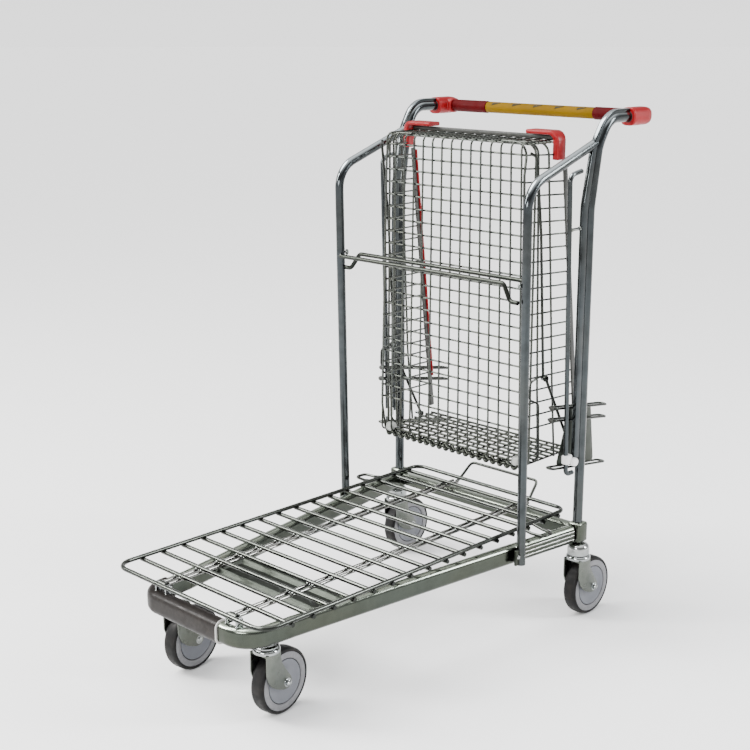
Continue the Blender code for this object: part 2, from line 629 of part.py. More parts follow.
def build_basket():
    side_gap = 0.0037

    def floor_place(u, v):
        z = FLOOR_BOTTOM_Z + (FLOOR_TOP_Z - FLOOR_BOTTOM_Z) * v
        return Vector(((u - 0.5) * 2.0 * (floor_half(z) - side_gap), FLOOR_Y, z))

    lattice("basket_floor_grid", (6, 8), floor_place)

    low, high = FLOOR_BOTTOM_Z + 0.0011, FLOOR_TOP_Z - 0.0011
    for label, side in SIDES:
        def side_place(u, v, side=side):
            z = low + (high - low) * v
            front = FLOOR_Y
            rear = rim_y(z) - 0.0107
            x = floor_half(z) + (RIM_HALF - 0.0064 - floor_half(z)) * u
            return Vector((side * x, front + (rear - front) * u, z))

        lattice("basket_side_grid_" + label, (2, 8), side_place)

    top_z, bottom_z = FLOOR_TOP_Z + 0.0096, FLOOR_BOTTOM_Z - 0.0193

    def top_place(u, v):
        front, rear = FLOOR_Y + 0.0086, RIM_TOP[0] - 0.0086
        return Vector(((u - 0.5) * 2.0 * (RIM_HALF - 0.0107), front + (rear - front) * v, top_z))

    lattice("basket_top_grid", (6, 2), top_place)

    def bottom_place(u, v):
        front, rear = FLOOR_Y + 0.0161, RIM_BOTTOM[0] - 0.0064
        return Vector(((u - 0.5) * 2.0 * (RIM_HALF - 0.0064), front + (rear - front) * v, bottom_z))

    lattice("basket_bottom_grid", (6, 2), bottom_place)

    rim_lean = math.atan2(RIM_BOTTOM[0] - RIM_TOP[0], RIM_TOP[1] - RIM_BOTTOM[1])
    rim_z_low, rim_z_high = 0.3595, 0.9523
    for label, side in SIDES:
        middle_z = (rim_z_low + rim_z_high) / 2.0
        length = (rim_z_high - rim_z_low) / math.cos(rim_lean)
        rail = box_mesh("basket_rim_" + label, (0.0043, 0.0128, length),
                        (side * RIM_HALF, rim_y(middle_z), middle_z), (rim_lean, 0, 0), bevel=0.0011)
        finish(rail, "basket_rim_" + label, GREY_PLASTIC)
        cap = box_mesh("basket_cap_" + label, (0.0797, 0.0353, 0.0578),
                       (side * 0.1683, RIM_TOP[0] - 0.0128, 0.9833), bevel=0.0064)
        hollow = box_mesh("hollow", (0.0856, 0.0535, 0.0535),
                          (side * 0.1562, RIM_TOP[0] - 0.0128, 0.9748))
        finish(cut_away(cap, [hollow]), "basket_cap_" + label, RED)
        foot = box_mesh("basket_foot_cap_" + label, (0.0214, 0.0139, 0.0171),
                        (side * (RIM_HALF - 0.0128), FLOOR_Y + 0.0235, bottom_z + 0.0102), bevel=0.0043)
        finish(foot, "basket_foot_cap_" + label, PALE_PLASTIC)

        bail = rounded([(BAIL_X, FLOOR_Y + 0.0128, top_z - 0.0161),
                        (BAIL_X, 0.2343, 0.8132), (BAIL_X, *BAIL_PIVOT)], 0.0321, 2)
        wire = tube_mesh("basket_bail_" + label, side_points(bail, side), BAIL_R, 1)
        stub = cylinder_mesh("stub", 0.0046, 0.0066, (side * BAIL_X, *BAIL_PIVOT), (1, 0, 0), 10)
        finish(join_solids(wire, [stub]), "basket_bail_" + label, ZINC)

    bar = box_mesh("basket_rim_top", (2 * (RIM_HALF - 0.0064), 0.0128, 0.0047),
                   (0.0, RIM_TOP[0], 0.9978), bevel=0.0011)
    finish(bar, "basket_rim_top", GREY_PLASTIC)


# ---------------------------------------------------------------- carriage and links
def hairpin(front, rear, half):
    """Closed wire loop lying flat between two end points (x, y, z), half as wide as given."""
    (x0, y0, z0), (x1, y1, z1) = front, rear
    corners = [(x0 + half, y0, z0), (x1 + half, y1, z1), (x1 - half, y1, z1), (x0 - half, y0, z0)]
    return rounded(corners, half * 0.98, 4, True)


def build_carriage():
    slope = (GUIDE_TOP[0] - GUIDE_BOTTOM[0]) / (GUIDE_TOP[1] - GUIDE_BOTTOM[1])
    for label, side in SIDES:
        bush_z = 0.3531
        bush_y = GUIDE_BOTTOM[0] + slope * (bush_z - GUIDE_BOTTOM[1])
        lean = math.atan(-slope)
        bush = box_mesh("slide_bush_" + label, (0.0171, 0.0246, 0.0214),
                        (side * GUIDE_X, bush_y + 0.0032, bush_z), (lean, 0.0, 0.0), bevel=0.0032)
        button_at = (side * (GUIDE_X + 0.0112), bush_y + 0.0054, bush_z - 0.0021)
        button = cylinder_mesh("button", 0.0091, 0.0086, button_at, (side, 0, 0), 16)
        bore = cylinder_mesh("bore", GUIDE_R + 0.0010, 0.0535, (side * GUIDE_X, bush_y, bush_z),
                             (0.0, slope, 1.0), 12)
        bush = join_solids(bush, [button])
        bush.name = "slide_bush_" + label
        finish(cut_away(bush, [bore]), "slide_bush_" + label, WHITE_PLASTIC)

        loops = []
        ties = []
        for front, rear in LOOPS:
            path = hairpin(front, rear, LOOP_HALF)
            loops.append(tube_mesh("loop", side_points(path, side), LOOP_WIRE_R, 1, True))
            part = (PLATE_TIE_Y - front[1]) / (rear[1] - front[1])
            tie_x = front[0] + (rear[0] - front[0]) * part
            tie_z = front[2] + (rear[2] - front[2]) * part
            ties.append(cylinder_mesh("tie", 0.0019, 2.0 * LOOP_HALF, (side * tie_x, PLATE_TIE_Y, tie_z),
                                      (1, 0, 0), 8))
        bm = bmesh.new()
        ring = [bm.verts.new((0.0, y, z)) for y, z in PLATE_OUTLINE]
        grown = bmesh.ops.extrude_face_region(bm, geom=[bm.faces.new(ring)])
        moved = [v for v in grown["geom"] if isinstance(v, bmesh.types.BMVert)]
        bmesh.ops.translate(bm, vec=(0.0026, 0.0, 0.0), verts=moved)
        bmesh.ops.recalc_face_normals(bm, faces=bm.faces)
        plate = mesh_object("plate", bm)
        plate.location.x = side * PLATE_X - 0.0013
        pin = cylinder_mesh("pin", 0.0032, 0.0182, (side * (PLATE_X - 0.0086), *LINK_PIVOT), (1, 0, 0), 10)
        arm = box_mesh("arm", (0.0112, 0.0128, 0.0086),
                       (side * (PLATE_X + 0.0057), bush_y + 0.0032, bush_z))
        cage = join_solids(plate, loops + ties + [arm, pin])
        finish(cage, "carriage_cage_" + label, ZINC)

        low = Vector((LINK_X, *LINK_PIVOT))
        high = Vector((LINK_X, *BAIL_PIVOT))
        rod = tube_mesh("fold_link_" + label, side_points([low, high], side), LINK_R, 1)
        ends = [cylinder_mesh("eye", 0.0064, 0.0060, (side * p.x, p.y, p.z), (1, 0, 0), 12)
                for p in (low, high)]
        bore = cylinder_mesh("bore", 0.0036, 0.0214, (side * low.x, low.y, low.z), (1, 0, 0), 12)
        finish(cut_away(join_solids(rod, ends), [bore]), "fold_link_" + label, ZINC)


# ---------------------------------------------------------------- joint axes
def pivot(name, place, axis=(0.0, 0.0, 1.0), parent=None):
    """An empty on a joint's axis, with its own Z along it."""
    empty = bpy.data.objects.new(name, None)
    empty.empty_display_size = 0.05
    PARTS.objects.link(empty)
    empty.rotation_mode = "QUATERNION"
    empty.rotation_quaternion = Vector((0, 0, 1)).rotation_difference(Vector(axis))
    empty.location = place
    if parent:
        hang(empty, parent)
    return empty


def hang(obj, parent):
    """Parent an object to a pivot and leave it where it stands."""
    bpy.context.view_layer.update()
    obj.parent = parent
    obj.matrix_parent_inverse = parent.matrix_world.inverted()


def hang_nodes(parent, *prefixes):
    for obj in list(PARTS.objects):
        if obj.type != "EMPTY" and obj.name.startswith(prefixes):
            hang(obj, parent)


def build_pivots():
    across = (1.0, 0.0, 0.0)
    hang_nodes(pivot("deck_lift_axis", (0.0, DECK_HINGE_Y, DECK_HINGE_Z), across), "deck_")
    hang_nodes(pivot("basket_fold_axis", (0.0, *FOLD_POLE), across), "basket_")
    travel = (0.0, GUIDE_TOP[0] - GUIDE_BOTTOM[0], GUIDE_TOP[1] - GUIDE_BOTTOM[1])
    slide = pivot("carriage_lift_axis", (0.0, *GUIDE_BOTTOM), travel)
    hang_nodes(slide, "carriage_", "slide_bush_")
    hang_nodes(pivot("link_swing_axis", (0.0, *LINK_PIVOT), across, slide), "fold_link_")
    for end, stem, turn in (("front", FRONT_STEM, FRONT_TURN), ("rear", REAR_STEM, 0.0)):
        for label, side in SIDES:
            caster = "caster_%s_%s" % (end, label)
            stem_at = Vector((side * stem[0], stem[1], 0.0))
            spin = Matrix.Rotation(turn, 4, "Z")
            swivel = pivot(caster + "_swivel_axis", stem_at + Vector((0.0, 0.0, CROWN_TOP)))
            axle = pivot(caster + "_wheel_axis", stem_at + spin @ Vector((0.0, TRAIL, WHEEL_RADIUS)),
                         spin @ Vector(across), swivel)
            hang_nodes(swivel, caster + "_fork")
            hang_nodes(axle, caster + "_tyre", caster + "_hub")


build_base()
build_deck()
build_uprights()
build_crossbar()
build_handle()
build_basket()
build_carriage()
for side_name, mirror in SIDES:
    build_caster("caster_front_" + side_name, (mirror * FRONT_STEM[0], FRONT_STEM[1]), 0.1457, FRONT_TURN)
    build_caster("caster_rear_" + side_name, (mirror * REAR_STEM[0], REAR_STEM[1]), 0.1648, 0.0)
build_pivots()
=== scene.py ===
"""Looks of the airport luggage trolley: fine wires, bent tubes, casters and plastics around the
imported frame.  Metres, in the frame of the CAD: +Z up, bumper towards -Y, handle towards +Y."""

import math
import random

import bmesh
import bpy
from mathutils import Matrix, Vector


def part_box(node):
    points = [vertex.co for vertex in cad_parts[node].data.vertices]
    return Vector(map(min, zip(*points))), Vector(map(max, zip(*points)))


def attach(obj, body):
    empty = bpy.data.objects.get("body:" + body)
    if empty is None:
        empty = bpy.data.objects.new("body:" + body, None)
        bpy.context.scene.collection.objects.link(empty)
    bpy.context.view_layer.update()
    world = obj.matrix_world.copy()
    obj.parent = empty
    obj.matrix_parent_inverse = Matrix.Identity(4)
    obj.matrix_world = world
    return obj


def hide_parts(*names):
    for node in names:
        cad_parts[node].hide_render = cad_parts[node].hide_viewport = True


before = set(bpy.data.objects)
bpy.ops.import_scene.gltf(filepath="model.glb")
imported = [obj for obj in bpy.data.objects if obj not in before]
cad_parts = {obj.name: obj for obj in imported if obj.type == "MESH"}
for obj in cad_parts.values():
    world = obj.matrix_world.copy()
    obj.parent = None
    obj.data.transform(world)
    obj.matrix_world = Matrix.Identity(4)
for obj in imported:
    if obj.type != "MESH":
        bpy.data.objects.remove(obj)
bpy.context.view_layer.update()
random.seed(7)

SIDES = (("right", 1.0), ("left", -1.0))
UP = Vector((0, 0, 1))


def low(node):
    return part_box(node)[0]


def high(node):
    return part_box(node)[1]


def middle(node):
    return (low(node) + high(node)) / 2.0


def extent(node):
    return high(node) - low(node)


def quarter(axis):
    return Matrix.Rotation(math.pi / 2, 4, axis)


def at(side, x, y, z):
    """A place on the right half, or its mirror image on the left."""
    return Vector((side * x, y, z))


# ---------------------------------------------------------------- materials
class Nodes:
    """A short way to write the node tree of a material or a world."""

    def __init__(self, owner):
        owner.use_nodes = True
        self.owner = owner
        self.tree = owner.node_tree
        self.shader = self.tree.nodes.get("Principled BSDF")
        self.coordinates = self.add("ShaderNodeTexCoord").outputs

    def put(self, socket, value):
        """A link from another socket, or a constant."""
        if isinstance(value, bpy.types.NodeSocket):
            self.tree.links.new(value, socket)
        else:
            socket.default_value = (*value, 1.0) if socket.type == "RGBA" else value

    def add(self, kind, settings=(), **inputs):
        """A new node; the name of an input has _ for each space."""
        node = self.tree.nodes.new(kind)
        for key, value in dict(settings).items():
            setattr(node, key, value)
        for key, value in inputs.items():
            self.put(node.inputs[key.replace("_", " ")], value)
        return node

    def noise(self, scale, detail=4.0, stretch=None):
        place = self.coordinates["Object"]
        if stretch:
            place = self.add("ShaderNodeMapping", Scale=stretch, Vector=place).outputs["Vector"]
        node = self.add("ShaderNodeTexNoise", Scale=scale, Detail=detail, Roughness=0.55, Vector=place)
        return node.outputs["Fac"]

    def ramp(self, source, stops):
        node = self.add("ShaderNodeValToRGB", Fac=source)
        elements = node.color_ramp.elements
        while len(elements) < len(stops):
            elements.new(0.5)
        for element, (position, colour) in zip(elements, stops):
            element.position = position
            element.color = (*colour, 1.0)
        return node.outputs["Color"]

    def spread(self, source, low_value, high_value, start=0.3, end=0.7):
        """Values of the source from start to end become low_value to high_value."""
        node = self.add("ShaderNodeMapRange", Value=source, From_Min=start, From_Max=end, To_Min=low_value,
                        To_Max=high_value)
        return node.outputs["Result"]

    def mix(self, factor, colour_a, colour_b, mode="MIX"):
        node = self.add("ShaderNodeMix", {"data_type": "RGBA", "blend_type": mode})
        for index, value in ((0, factor), (6, colour_a), (7, colour_b)):
            self.put(node.inputs[index], value)
        return node.outputs[2]

    def bump(self, height, strength, distance=0.0003):
        node = self.add("ShaderNodeBump", Strength=strength, Distance=distance, Height=height)
        self.put(self.shader.inputs["Normal"], node.outputs["Normal"])

    def done(self, colour, roughness, metallic=0.0, specular=0.5):
        for key, value in (("Base Color", colour), ("Roughness", roughness), ("Metallic", metallic),
                           ("Specular IOR Level", specular)):
            self.put(self.shader.inputs[key], value)
        return self.owner


def plated_steel(name, dark, light, smooth, dull, grain=None, top=4.0, patchy=0.12):
    """Bright zinc: cloudy, with fine drawing lines and duller patches; faces turned up are painted lighter,
    a painted highlight of the light from above.
    """
    nodes = Nodes(bpy.data.materials.new(name))
    colour = nodes.ramp(nodes.noise(22.0, 5.0), ((0.32, dark), (0.52, light), (0.72, dark)))
    tint = nodes.ramp(nodes.noise(9.0, 2.0), ((0.35, (1.0, 0.99, 0.95)), (0.65, (0.95, 0.98, 1.0))))
    colour = nodes.mix(1.0, colour, tint, "MULTIPLY")
    patches = nodes.spread(nodes.noise(70.0, 6.0), 0.0, patchy, 0.6, 0.78)
    colour = nodes.mix(patches, colour, [1.6 * channel for channel in light])
    # Faces that turn upwards are painted lighter, scaled by top: a painted highlight standing in for the
    # light from above.
    facing = nodes.add("ShaderNodeSeparateXYZ", Vector=nodes.coordinates["Normal"])
    painted_top_highlight = nodes.spread(facing.outputs["Z"], 0.0, 1.0, 0.35, 0.95)
    colour = nodes.mix(painted_top_highlight, colour, [min(top * channel, 0.7) for channel in light])
    nodes.bump(nodes.noise(420.0, 3.0, grain), 0.05)
    return nodes.done(colour, nodes.spread(nodes.noise(60.0, 5.0), smooth, dull), metallic=1.0)


def moulded(name, base, shade, roughness, grain_scale=900.0, grain=0.05, worn=None, shine=0.4):
    """Moulded plastic: slight mottling, fine grain and, in the colour worn, rubbed edges."""
    nodes = Nodes(bpy.data.materials.new(name))
    colour = nodes.ramp(nodes.noise(18.0, 4.0), ((0.35, base), (0.7, shade)))
    if worn:
        pointed = nodes.add("ShaderNodeNewGeometry").outputs["Pointiness"]
        rubbed = nodes.add("ShaderNodeMath", {"operation": "MULTIPLY"})
        nodes.put(rubbed.inputs[0], nodes.spread(pointed, 0.0, 1.0, 0.51, 0.6))
        nodes.put(rubbed.inputs[1], nodes.spread(nodes.noise(160.0, 5.0), 0.0, 0.8, 0.45, 0.65))
        colour = nodes.mix(rubbed.outputs[0], colour, worn)
    scuff = nodes.spread(nodes.noise(45.0, 6.0), roughness - 0.05, roughness + 0.14)
    nodes.bump(nodes.noise(grain_scale, 2.0), grain)
    return nodes.done(colour, scuff, specular=shine)


def tread_rubber(name):
    """Black rubber with some floor dust on it."""
    nodes = Nodes(bpy.data.materials.new(name))
    dust = nodes.spread(nodes.noise(55.0, 6.0), 0.0, 0.55, 0.48, 0.72)
    colour = nodes.mix(dust, (0.003, 0.0029, 0.0029), (0.016, 0.013, 0.011))
    nodes.bump(nodes.noise(500.0, 4.0), 0.18, 0.0004)
    return nodes.done(colour, nodes.spread(nodes.noise(80.0, 4.0), 0.42, 0.66), specular=0.18)


# Each zinc's top sets how much lighter its upward faces are painted: a painted highlight.
ZINC_WIRE = plated_steel("zinc_wire", (0.04, 0.043, 0.038), (0.062, 0.066, 0.059), 0.2, 0.34, top=2.0)
# A darker copy of the wire zinc, for the crossbar rods and the basket's bottom wires: painted shade
# standing in for the dark surroundings they reflect.
ZINC_SHADED_WIRE = plated_steel("zinc_wire_painted_shade", (0.018, 0.02, 0.017), (0.028, 0.03, 0.026), 0.18, 0.3, top=1.8)
ZINC_DECK = plated_steel("zinc_deck_rods", (0.015, 0.017, 0.015), (0.028, 0.03, 0.027), 0.15, 0.28, top=5.0)
ZINC_TUBE = plated_steel(
    "zinc_tube", (0.034, 0.037, 0.038), (0.05, 0.055, 0.057), 0.1, 0.2, (60.0, 60.0, 4.0), 12.0)
ZINC_RAIL = plated_steel(
    "zinc_rail", (0.042, 0.047, 0.039), (0.052, 0.058, 0.048), 0.16, 0.26, (60.0, 4.0, 60.0), 9.0, 0.05)
# A lighter copy of the rail zinc, for the rail ribs and the deck's twin beams: a painted highlight where
# they catch the light.
ZINC_HIGHLIGHT_RIB = plated_steel("rail_rib_zinc_highlight", (0.1, 0.1, 0.094), (0.15, 0.15, 0.142), 0.12, 0.22, top=3.0)
ZINC_SHEET = plated_steel(
    "zinc_sheet", (0.032, 0.036, 0.03), (0.04, 0.045, 0.038), 0.36, 0.46, top=1.5, patchy=0.05)
ZINC_FORK = plated_steel(
    "caster_fork_zinc", (0.085, 0.092, 0.08), (0.115, 0.122, 0.108), 0.24, 0.36, top=2.0)
CHROME = plated_steel("bright_chrome", (0.2, 0.21, 0.21), (0.3, 0.31, 0.31), 0.07, 0.16, top=2.0)
WELD = plated_steel("weld_zinc", (0.09, 0.1, 0.09), (0.17, 0.18, 0.17), 0.14, 0.28, top=3.0)
# A dark material for the running gap under each caster cup, the gap at each handle cap's mouth and the
# wheel groove: painted shade.
GAP_SHADE_PAINT = moulded("painted_gap_shade", (0.02, 0.02, 0.02), (0.03, 0.03, 0.03), 0.6)
SLEEVE_GREY = moulded(
    "bumper_vinyl", (0.0062, 0.0044, 0.0036), (0.0085, 0.0062, 0.0051), 0.36, 420.0, 0.05,
    (0.022, 0.018, 0.015), shine=0.16)
LIP_PALE = moulded("sleeve_lip", (0.48, 0.47, 0.45), (0.56, 0.55, 0.53), 0.4)
CAP_RED = moulded(
    "cap_red_plastic", (0.2, 0.0008, 0.003), (0.235, 0.0016, 0.0045), 0.34, 900.0, 0.06, (0.38, 0.03, 0.03),
    shine=0.25)
DARK_RED = moulded(
    "sleeve_red_plastic", (0.05, 0.0, 0.001), (0.066, 0.0, 0.001), 0.48, 700.0, 0.08, (0.11, 0.005, 0.005),
    shine=0.06)
GRIP_YELLOW = moulded(
    "grip_yellow_plastic", (0.13, 0.07, 0.0), (0.155, 0.084, 0.0), 0.5, 600.0, 0.1, (0.2, 0.13, 0.005),
    shine=0.06)
MARK_DARK = moulded("grip_mark", (0.014, 0.011, 0.001), (0.022, 0.017, 0.002), 0.5, shine=0.2)
RIM_GREY = moulded(
    "rim_grey_plastic", (0.018, 0.019, 0.016), (0.027, 0.028, 0.024), 0.42, 800.0, 0.1, (0.06, 0.06, 0.055))
PALE_GREY = moulded("pale_grey_plastic", (0.3, 0.31, 0.29), (0.36, 0.37, 0.35), 0.4, 700.0, 0.06)
BUSH_WHITE = moulded("white_plastic", (0.72, 0.72, 0.71), (0.8, 0.8, 0.79), 0.34, 900.0, 0.04)
TYRE_BLACK = tread_rubber("tyre_rubber")
WHEEL_RING = moulded(
    "wheel_ring_grey", (0.13, 0.13, 0.138), (0.16, 0.16, 0.168), 0.44, 700.0, 0.1, (0.22, 0.22, 0.23))
WHEEL_DISC = moulded(
    "wheel_disc_grey", (0.105, 0.111, 0.128), (0.132, 0.138, 0.156), 0.42, 700.0, 0.1, (0.2, 0.21, 0.23))


# ---------------------------------------------------------------- making pieces
def piece(obj, body, look, nodes=()):
    """Give a piece its material, let it ride on a body and stand for CAD nodes."""
    obj.data.materials.clear()
    obj.data.materials.append(look)
    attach(obj, body)
    if nodes:
        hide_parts(*nodes)
    return obj


def new_object(name, data):
    obj = bpy.data.objects.new(name, data)
    bpy.context.scene.collection.objects.link(obj)
    return obj


def new_mesh(name, bm, smooth_angle=35.0):
    mesh = bpy.data.meshes.new(name)
    bmesh.ops.recalc_face_normals(bm, faces=bm.faces)
    bm.to_mesh(mesh)
    bm.free()
    mesh.shade_smooth()
    mesh.set_sharp_from_angle(angle=math.radians(smooth_angle))
    return new_object(name, mesh)


def rounded(points, radius, steps=10, closed=False):
    """A polyline with its corners replaced by arcs."""
    points = [Vector(point) for point in points]
    count = len(points)
    result = []
    for index, corner in enumerate(points):
        size = radius[index] if isinstance(radius, (list, tuple)) else radius
        if (not closed and index in (0, count - 1)) or size == 0.0:
            result.append(corner)
            continue
        before = points[index - 1] - corner
        after = points[(index + 1) % count] - corner
        half = before.angle(after) / 2.0
        if half > math.radians(89.5):
            result.append(corner)
            continue
        reach = min(size / math.tan(half), 0.49 * before.length, 0.49 * after.length)
        arc = reach * math.tan(half)
        before.normalize()
        after.normalize()
        centre = corner + (before + after).normalized() * (arc / math.sin(half))
        first = corner + before * reach - centre
        last = corner + after * reach - centre
        turn = first.angle(last)
        for step in range(steps + 1):
            part = step / steps
            weight_a = math.sin((1.0 - part) * turn) / math.sin(turn)
            weight_b = math.sin(part * turn) / math.sin(turn)
            result.append(centre + first * weight_a + last * weight_b)
    return result


def rounded_outline(points, radius, steps):
    """The same for a closed outline of (u, v) points in a plane."""
    corners = rounded([(u, v, 0.0) for u, v in points], radius, steps, True)
    return [(corner.x, corner.y) for corner in corners]


def mirrored(points, side):
    return [at(side, *point) for point in points]


def wires(name, paths, radius, body, look, nodes=(), rings=4, closed=False):
    """Round wires or tubes of one thickness, all in one piece."""
    data = bpy.data.curves.new(name, "CURVE")
    data.dimensions = "3D"
    data.twist_mode = "MINIMUM"
    data.bevel_depth = radius
    data.bevel_resolution = rings
    data.use_fill_caps = not closed
    for path in paths:
        spline = data.splines.new("POLY")
        spline.points.add(len(path) - 1)
        for target, point in zip(spline.points, path):
            target.co = (point[0], point[1], point[2], 1.0)
        spline.use_cyclic_u = closed
        spline.use_smooth = True
    return piece(new_object(name, data), body, look, nodes)


def section(width, height, corner, steps=6):
    half_w, half_h = width / 2.0, height / 2.0
    corners = [(half_w, half_h), (-half_w, half_h), (-half_w, -half_h), (half_w, -half_h)]
    return rounded_outline(corners, corner, steps)


def join_loops(bm, loops, capped=True):
    """Quads between each loop of vertices and the next, and a face over each end."""
    for start, end in zip(loops, loops[1:]):
        for index in range(len(start)):
            after = (index + 1) % len(start)
            bm.faces.new((start[index], start[after], end[after], end[index]))
    if capped:
        bm.faces.new(loops[0])
        bm.faces.new(list(reversed(loops[-1])))


def sweep(name, path, ring, body, look, nodes=(), sizes=None, upright=UP):
    """A closed section of (across, up) points, carried along a path; sizes stretch it at each point."""
    bm = bmesh.new()
    loops = []
    count = len(path)
    for index, point in enumerate(path):
        ahead = Vector(path[min(index + 1, count - 1)]) - Vector(path[max(index - 1, 0)])
        ahead.normalize()
        across = ahead.cross(upright).normalized()
        rise = across.cross(ahead).normalized()
        wide, tall = sizes[index] if sizes else (1.0, 1.0)
        loops.append([bm.verts.new(Vector(point) + across * u * wide + rise * v * tall) for u, v in ring])
    join_loops(bm, loops)
    return piece(new_mesh(name, bm), body, look, nodes)


def lathe(name, profile, centre, axis, body, look, nodes=(), steps=64, angle=35.0):
    """A turned piece from (radius, height) points; it closes on the axis or on itself."""
    bm = bmesh.new()
    loops = []
    for radius, height in profile:
        if radius < 1e-6:
            loops.append([bm.verts.new((0.0, 0.0, height))])
            continue
        ring = []
        for step in range(steps):
            turn = 2.0 * math.pi * step / steps
            ring.append(bm.verts.new((radius * math.cos(turn), radius * math.sin(turn), height)))
        loops.append(ring)
    pairs = list(zip(loops, loops[1:]))
    if len(loops[0]) > 1 and len(loops[-1]) > 1:
        pairs.append((loops[-1], loops[0]))
    for start, end in pairs:
        for index in range(steps):
            after = (index + 1) % steps
            corners = [start[index % len(start)], start[after % len(start)], end[after % len(end)],
                       end[index % len(end)]]
            unique = list(dict.fromkeys(corners))
            if len(unique) > 2:
                bm.faces.new(unique)
    turn = UP.rotation_difference(Vector(axis)).to_matrix().to_4x4()
    bmesh.ops.transform(bm, matrix=Matrix.Translation(centre) @ turn, verts=bm.verts)
    return piece(new_mesh(name, bm, angle), body, look, nodes)


def chamfered(radius, half, edge, bore=0.0):
    """Profile of a short pin or eye, with its two rims broken."""
    return both_faces([(bore, half), (radius - edge, half), (radius, half - edge)])


def both_faces(profile):
    """A profile that is the same on the far side."""
    return profile + [(radius, -height) for radius, height in reversed(profile)]


def block(name, size, centre, body, look, nodes=(), bevel=0.001, lie=None, segments=3):
    """A box with rounded edges; lie is its rotation matrix."""
    bm = bmesh.new()
    bmesh.ops.create_cube(bm, size=1.0)
    bmesh.ops.scale(bm, vec=size, verts=bm.verts)
    bmesh.ops.bevel(bm, geom=bm.edges[:], offset=bevel, segments=segments, profile=0.5, affect="EDGES")
    matrix = Matrix.Translation(centre)
    if lie is not None:
        matrix = matrix @ lie.to_4x4()
    bmesh.ops.transform(bm, matrix=matrix, verts=bm.verts)
    return piece(new_mesh(name, bm), body, look, nodes)


def plate(name, outline, thickness, matrix, body, look, bevel=0.0006):
    """A flat plate: an outline in its own XY plane, thickened evenly and laid by a matrix."""
    bm = bmesh.new()
    face = bm.faces.new([bm.verts.new((u, v, -thickness / 2.0)) for u, v in outline])
    grown = bmesh.ops.extrude_face_region(bm, geom=[face])
    moved = [item for item in grown["geom"] if isinstance(item, bmesh.types.BMVert)]
    bmesh.ops.translate(bm, vec=(0, 0, thickness), verts=moved)
    bmesh.ops.recalc_face_normals(bm, faces=bm.faces)
    rim = [edge for edge in bm.edges if edge.calc_face_angle(0.0) > math.radians(60)]
    bmesh.ops.bevel(bm, geom=rim, offset=bevel, segments=2, profile=0.5, affect="EDGES")
    bmesh.ops.transform(bm, matrix=matrix, verts=bm.verts)
    return piece(new_mesh(name, bm), body, look, ())


def beads(name, places, size, body):
    """Small irregular weld beads: places are (point, stretch direction) pairs."""
    bm = bmesh.new()
    for point, along in places:
        grown = bmesh.ops.create_icosphere(bm, subdivisions=2, radius=1.0)
        turn = UP.rotation_difference(Vector(along)).to_matrix()
        stretch = 1.1 + 0.5 * random.random()
        for vert in grown["verts"]:
            wobble = 1.0 + 0.12 * (random.random() - 0.5)
            spot = turn @ Vector((vert.co.x, vert.co.y, vert.co.z * stretch))
            vert.co = spot * size * wobble + Vector(point)
    return piece(new_mesh(name, bm, 80.0), body, WELD, ())


# ---------------------------------------------------------------- base frame
RAIL_SECTION = (0.0235, 0.0385)
BOW_Y, BOW_Z = -0.481, 0.1696
RAIL_END_Y, RAIL_END_Z = high("base_rail_right").y, 0.1846
RAIL_FRONT, RAIL_SLOPE = (0.1439, -0.428), 0.145
RAIL_JOIN_Y = low("base_rail_right").y - 0.002
BOW_CORNERS = ((-0.1434, 0.0385), (0.1391, 0.0535))
SLEEVE_END = high("bumper_sleeve").x
DECK_PIN = Vector((0.0, -0.4751, 0.206))
BEAM_X = middle("deck_beam_right").x
RIB_OUT, RIB_STEP, RIB_START_Y = 0.0113, 0.0085, 0.165


def rail_point(y, side):
    share = (y - BOW_Y) / (RAIL_END_Y - BOW_Y)
    x = RAIL_FRONT[0] + RAIL_SLOPE * (y - RAIL_FRONT[1])
    return Vector((side * x, y, BOW_Z + (RAIL_END_Z - BOW_Z) * share))


def bow_path():
    (left_x, left_radius), (right_x, right_radius) = BOW_CORNERS
    outline = [rail_point(RAIL_JOIN_Y, -1.0), (left_x, BOW_Y, BOW_Z), (right_x, BOW_Y, BOW_Z),
               rail_point(RAIL_JOIN_Y, 1.0)]
    return rounded(outline, (0.0, left_radius, right_radius, 0.0), 18)


def build_base():
    width, height = RAIL_SECTION
    tube_ring = section(width, height, 0.0098)
    path = bow_path()
    sweep("bow_tube", path, tube_ring, "frame", ZINC_RAIL, ["base_front_bow"])
    covered = [path[0].lerp(path[1], 0.8)] + [point for point in path[1:] if point.x < 0.0]
    covered.append(Vector((SLEEVE_END, BOW_Y, BOW_Z)))
    lip = [(SLEEVE_END - 0.0016, BOW_Y, BOW_Z), (SLEEVE_END + 0.0002, BOW_Y, BOW_Z)]
    for name, line, wider, corner, look, nodes in (
            ("bumper_sleeve_shell", covered, 0.007, 0.0138, SLEEVE_GREY, ["bumper_sleeve"]),
            ("bumper_sleeve_lip", lip, 0.0076, 0.0141, LIP_PALE, ())):
        ring = section(width + wider, height + wider, corner)
        sweep(name, line, ring, "frame", look, nodes)

    welds = []
    for label, side in SIDES:
        run = [rail_point(y, side) for y in (RAIL_JOIN_Y, RAIL_END_Y)]
        sweep("rail_tube_" + label, run, tube_ring, "frame", ZINC_RAIL, ["base_rail_" + label])
        out = (run[1] - run[0]).normalized().cross(UP) * side * RIB_OUT
        for index, drop in enumerate((-RIB_STEP, 0.0, RIB_STEP)):
            rib = [rail_point(y, side) + out + UP * drop for y in (RIB_START_Y, RAIL_END_Y - 0.002)]
            wires("rail_rib_%s_%d" % (label, index), [rib], 0.0017, "frame", ZINC_HIGHLIGHT_RIB, rings=2)
        welds += build_hinge(label, side)
    beads("hinge_welds", welds, 0.003, "frame")
    build_cross_plate()
    block("rear_beam", extent("base_rear_beam"), middle("base_rear_beam"), "frame", ZINC_RAIL,
          ["base_rear_beam"], bevel=0.005, segments=4)


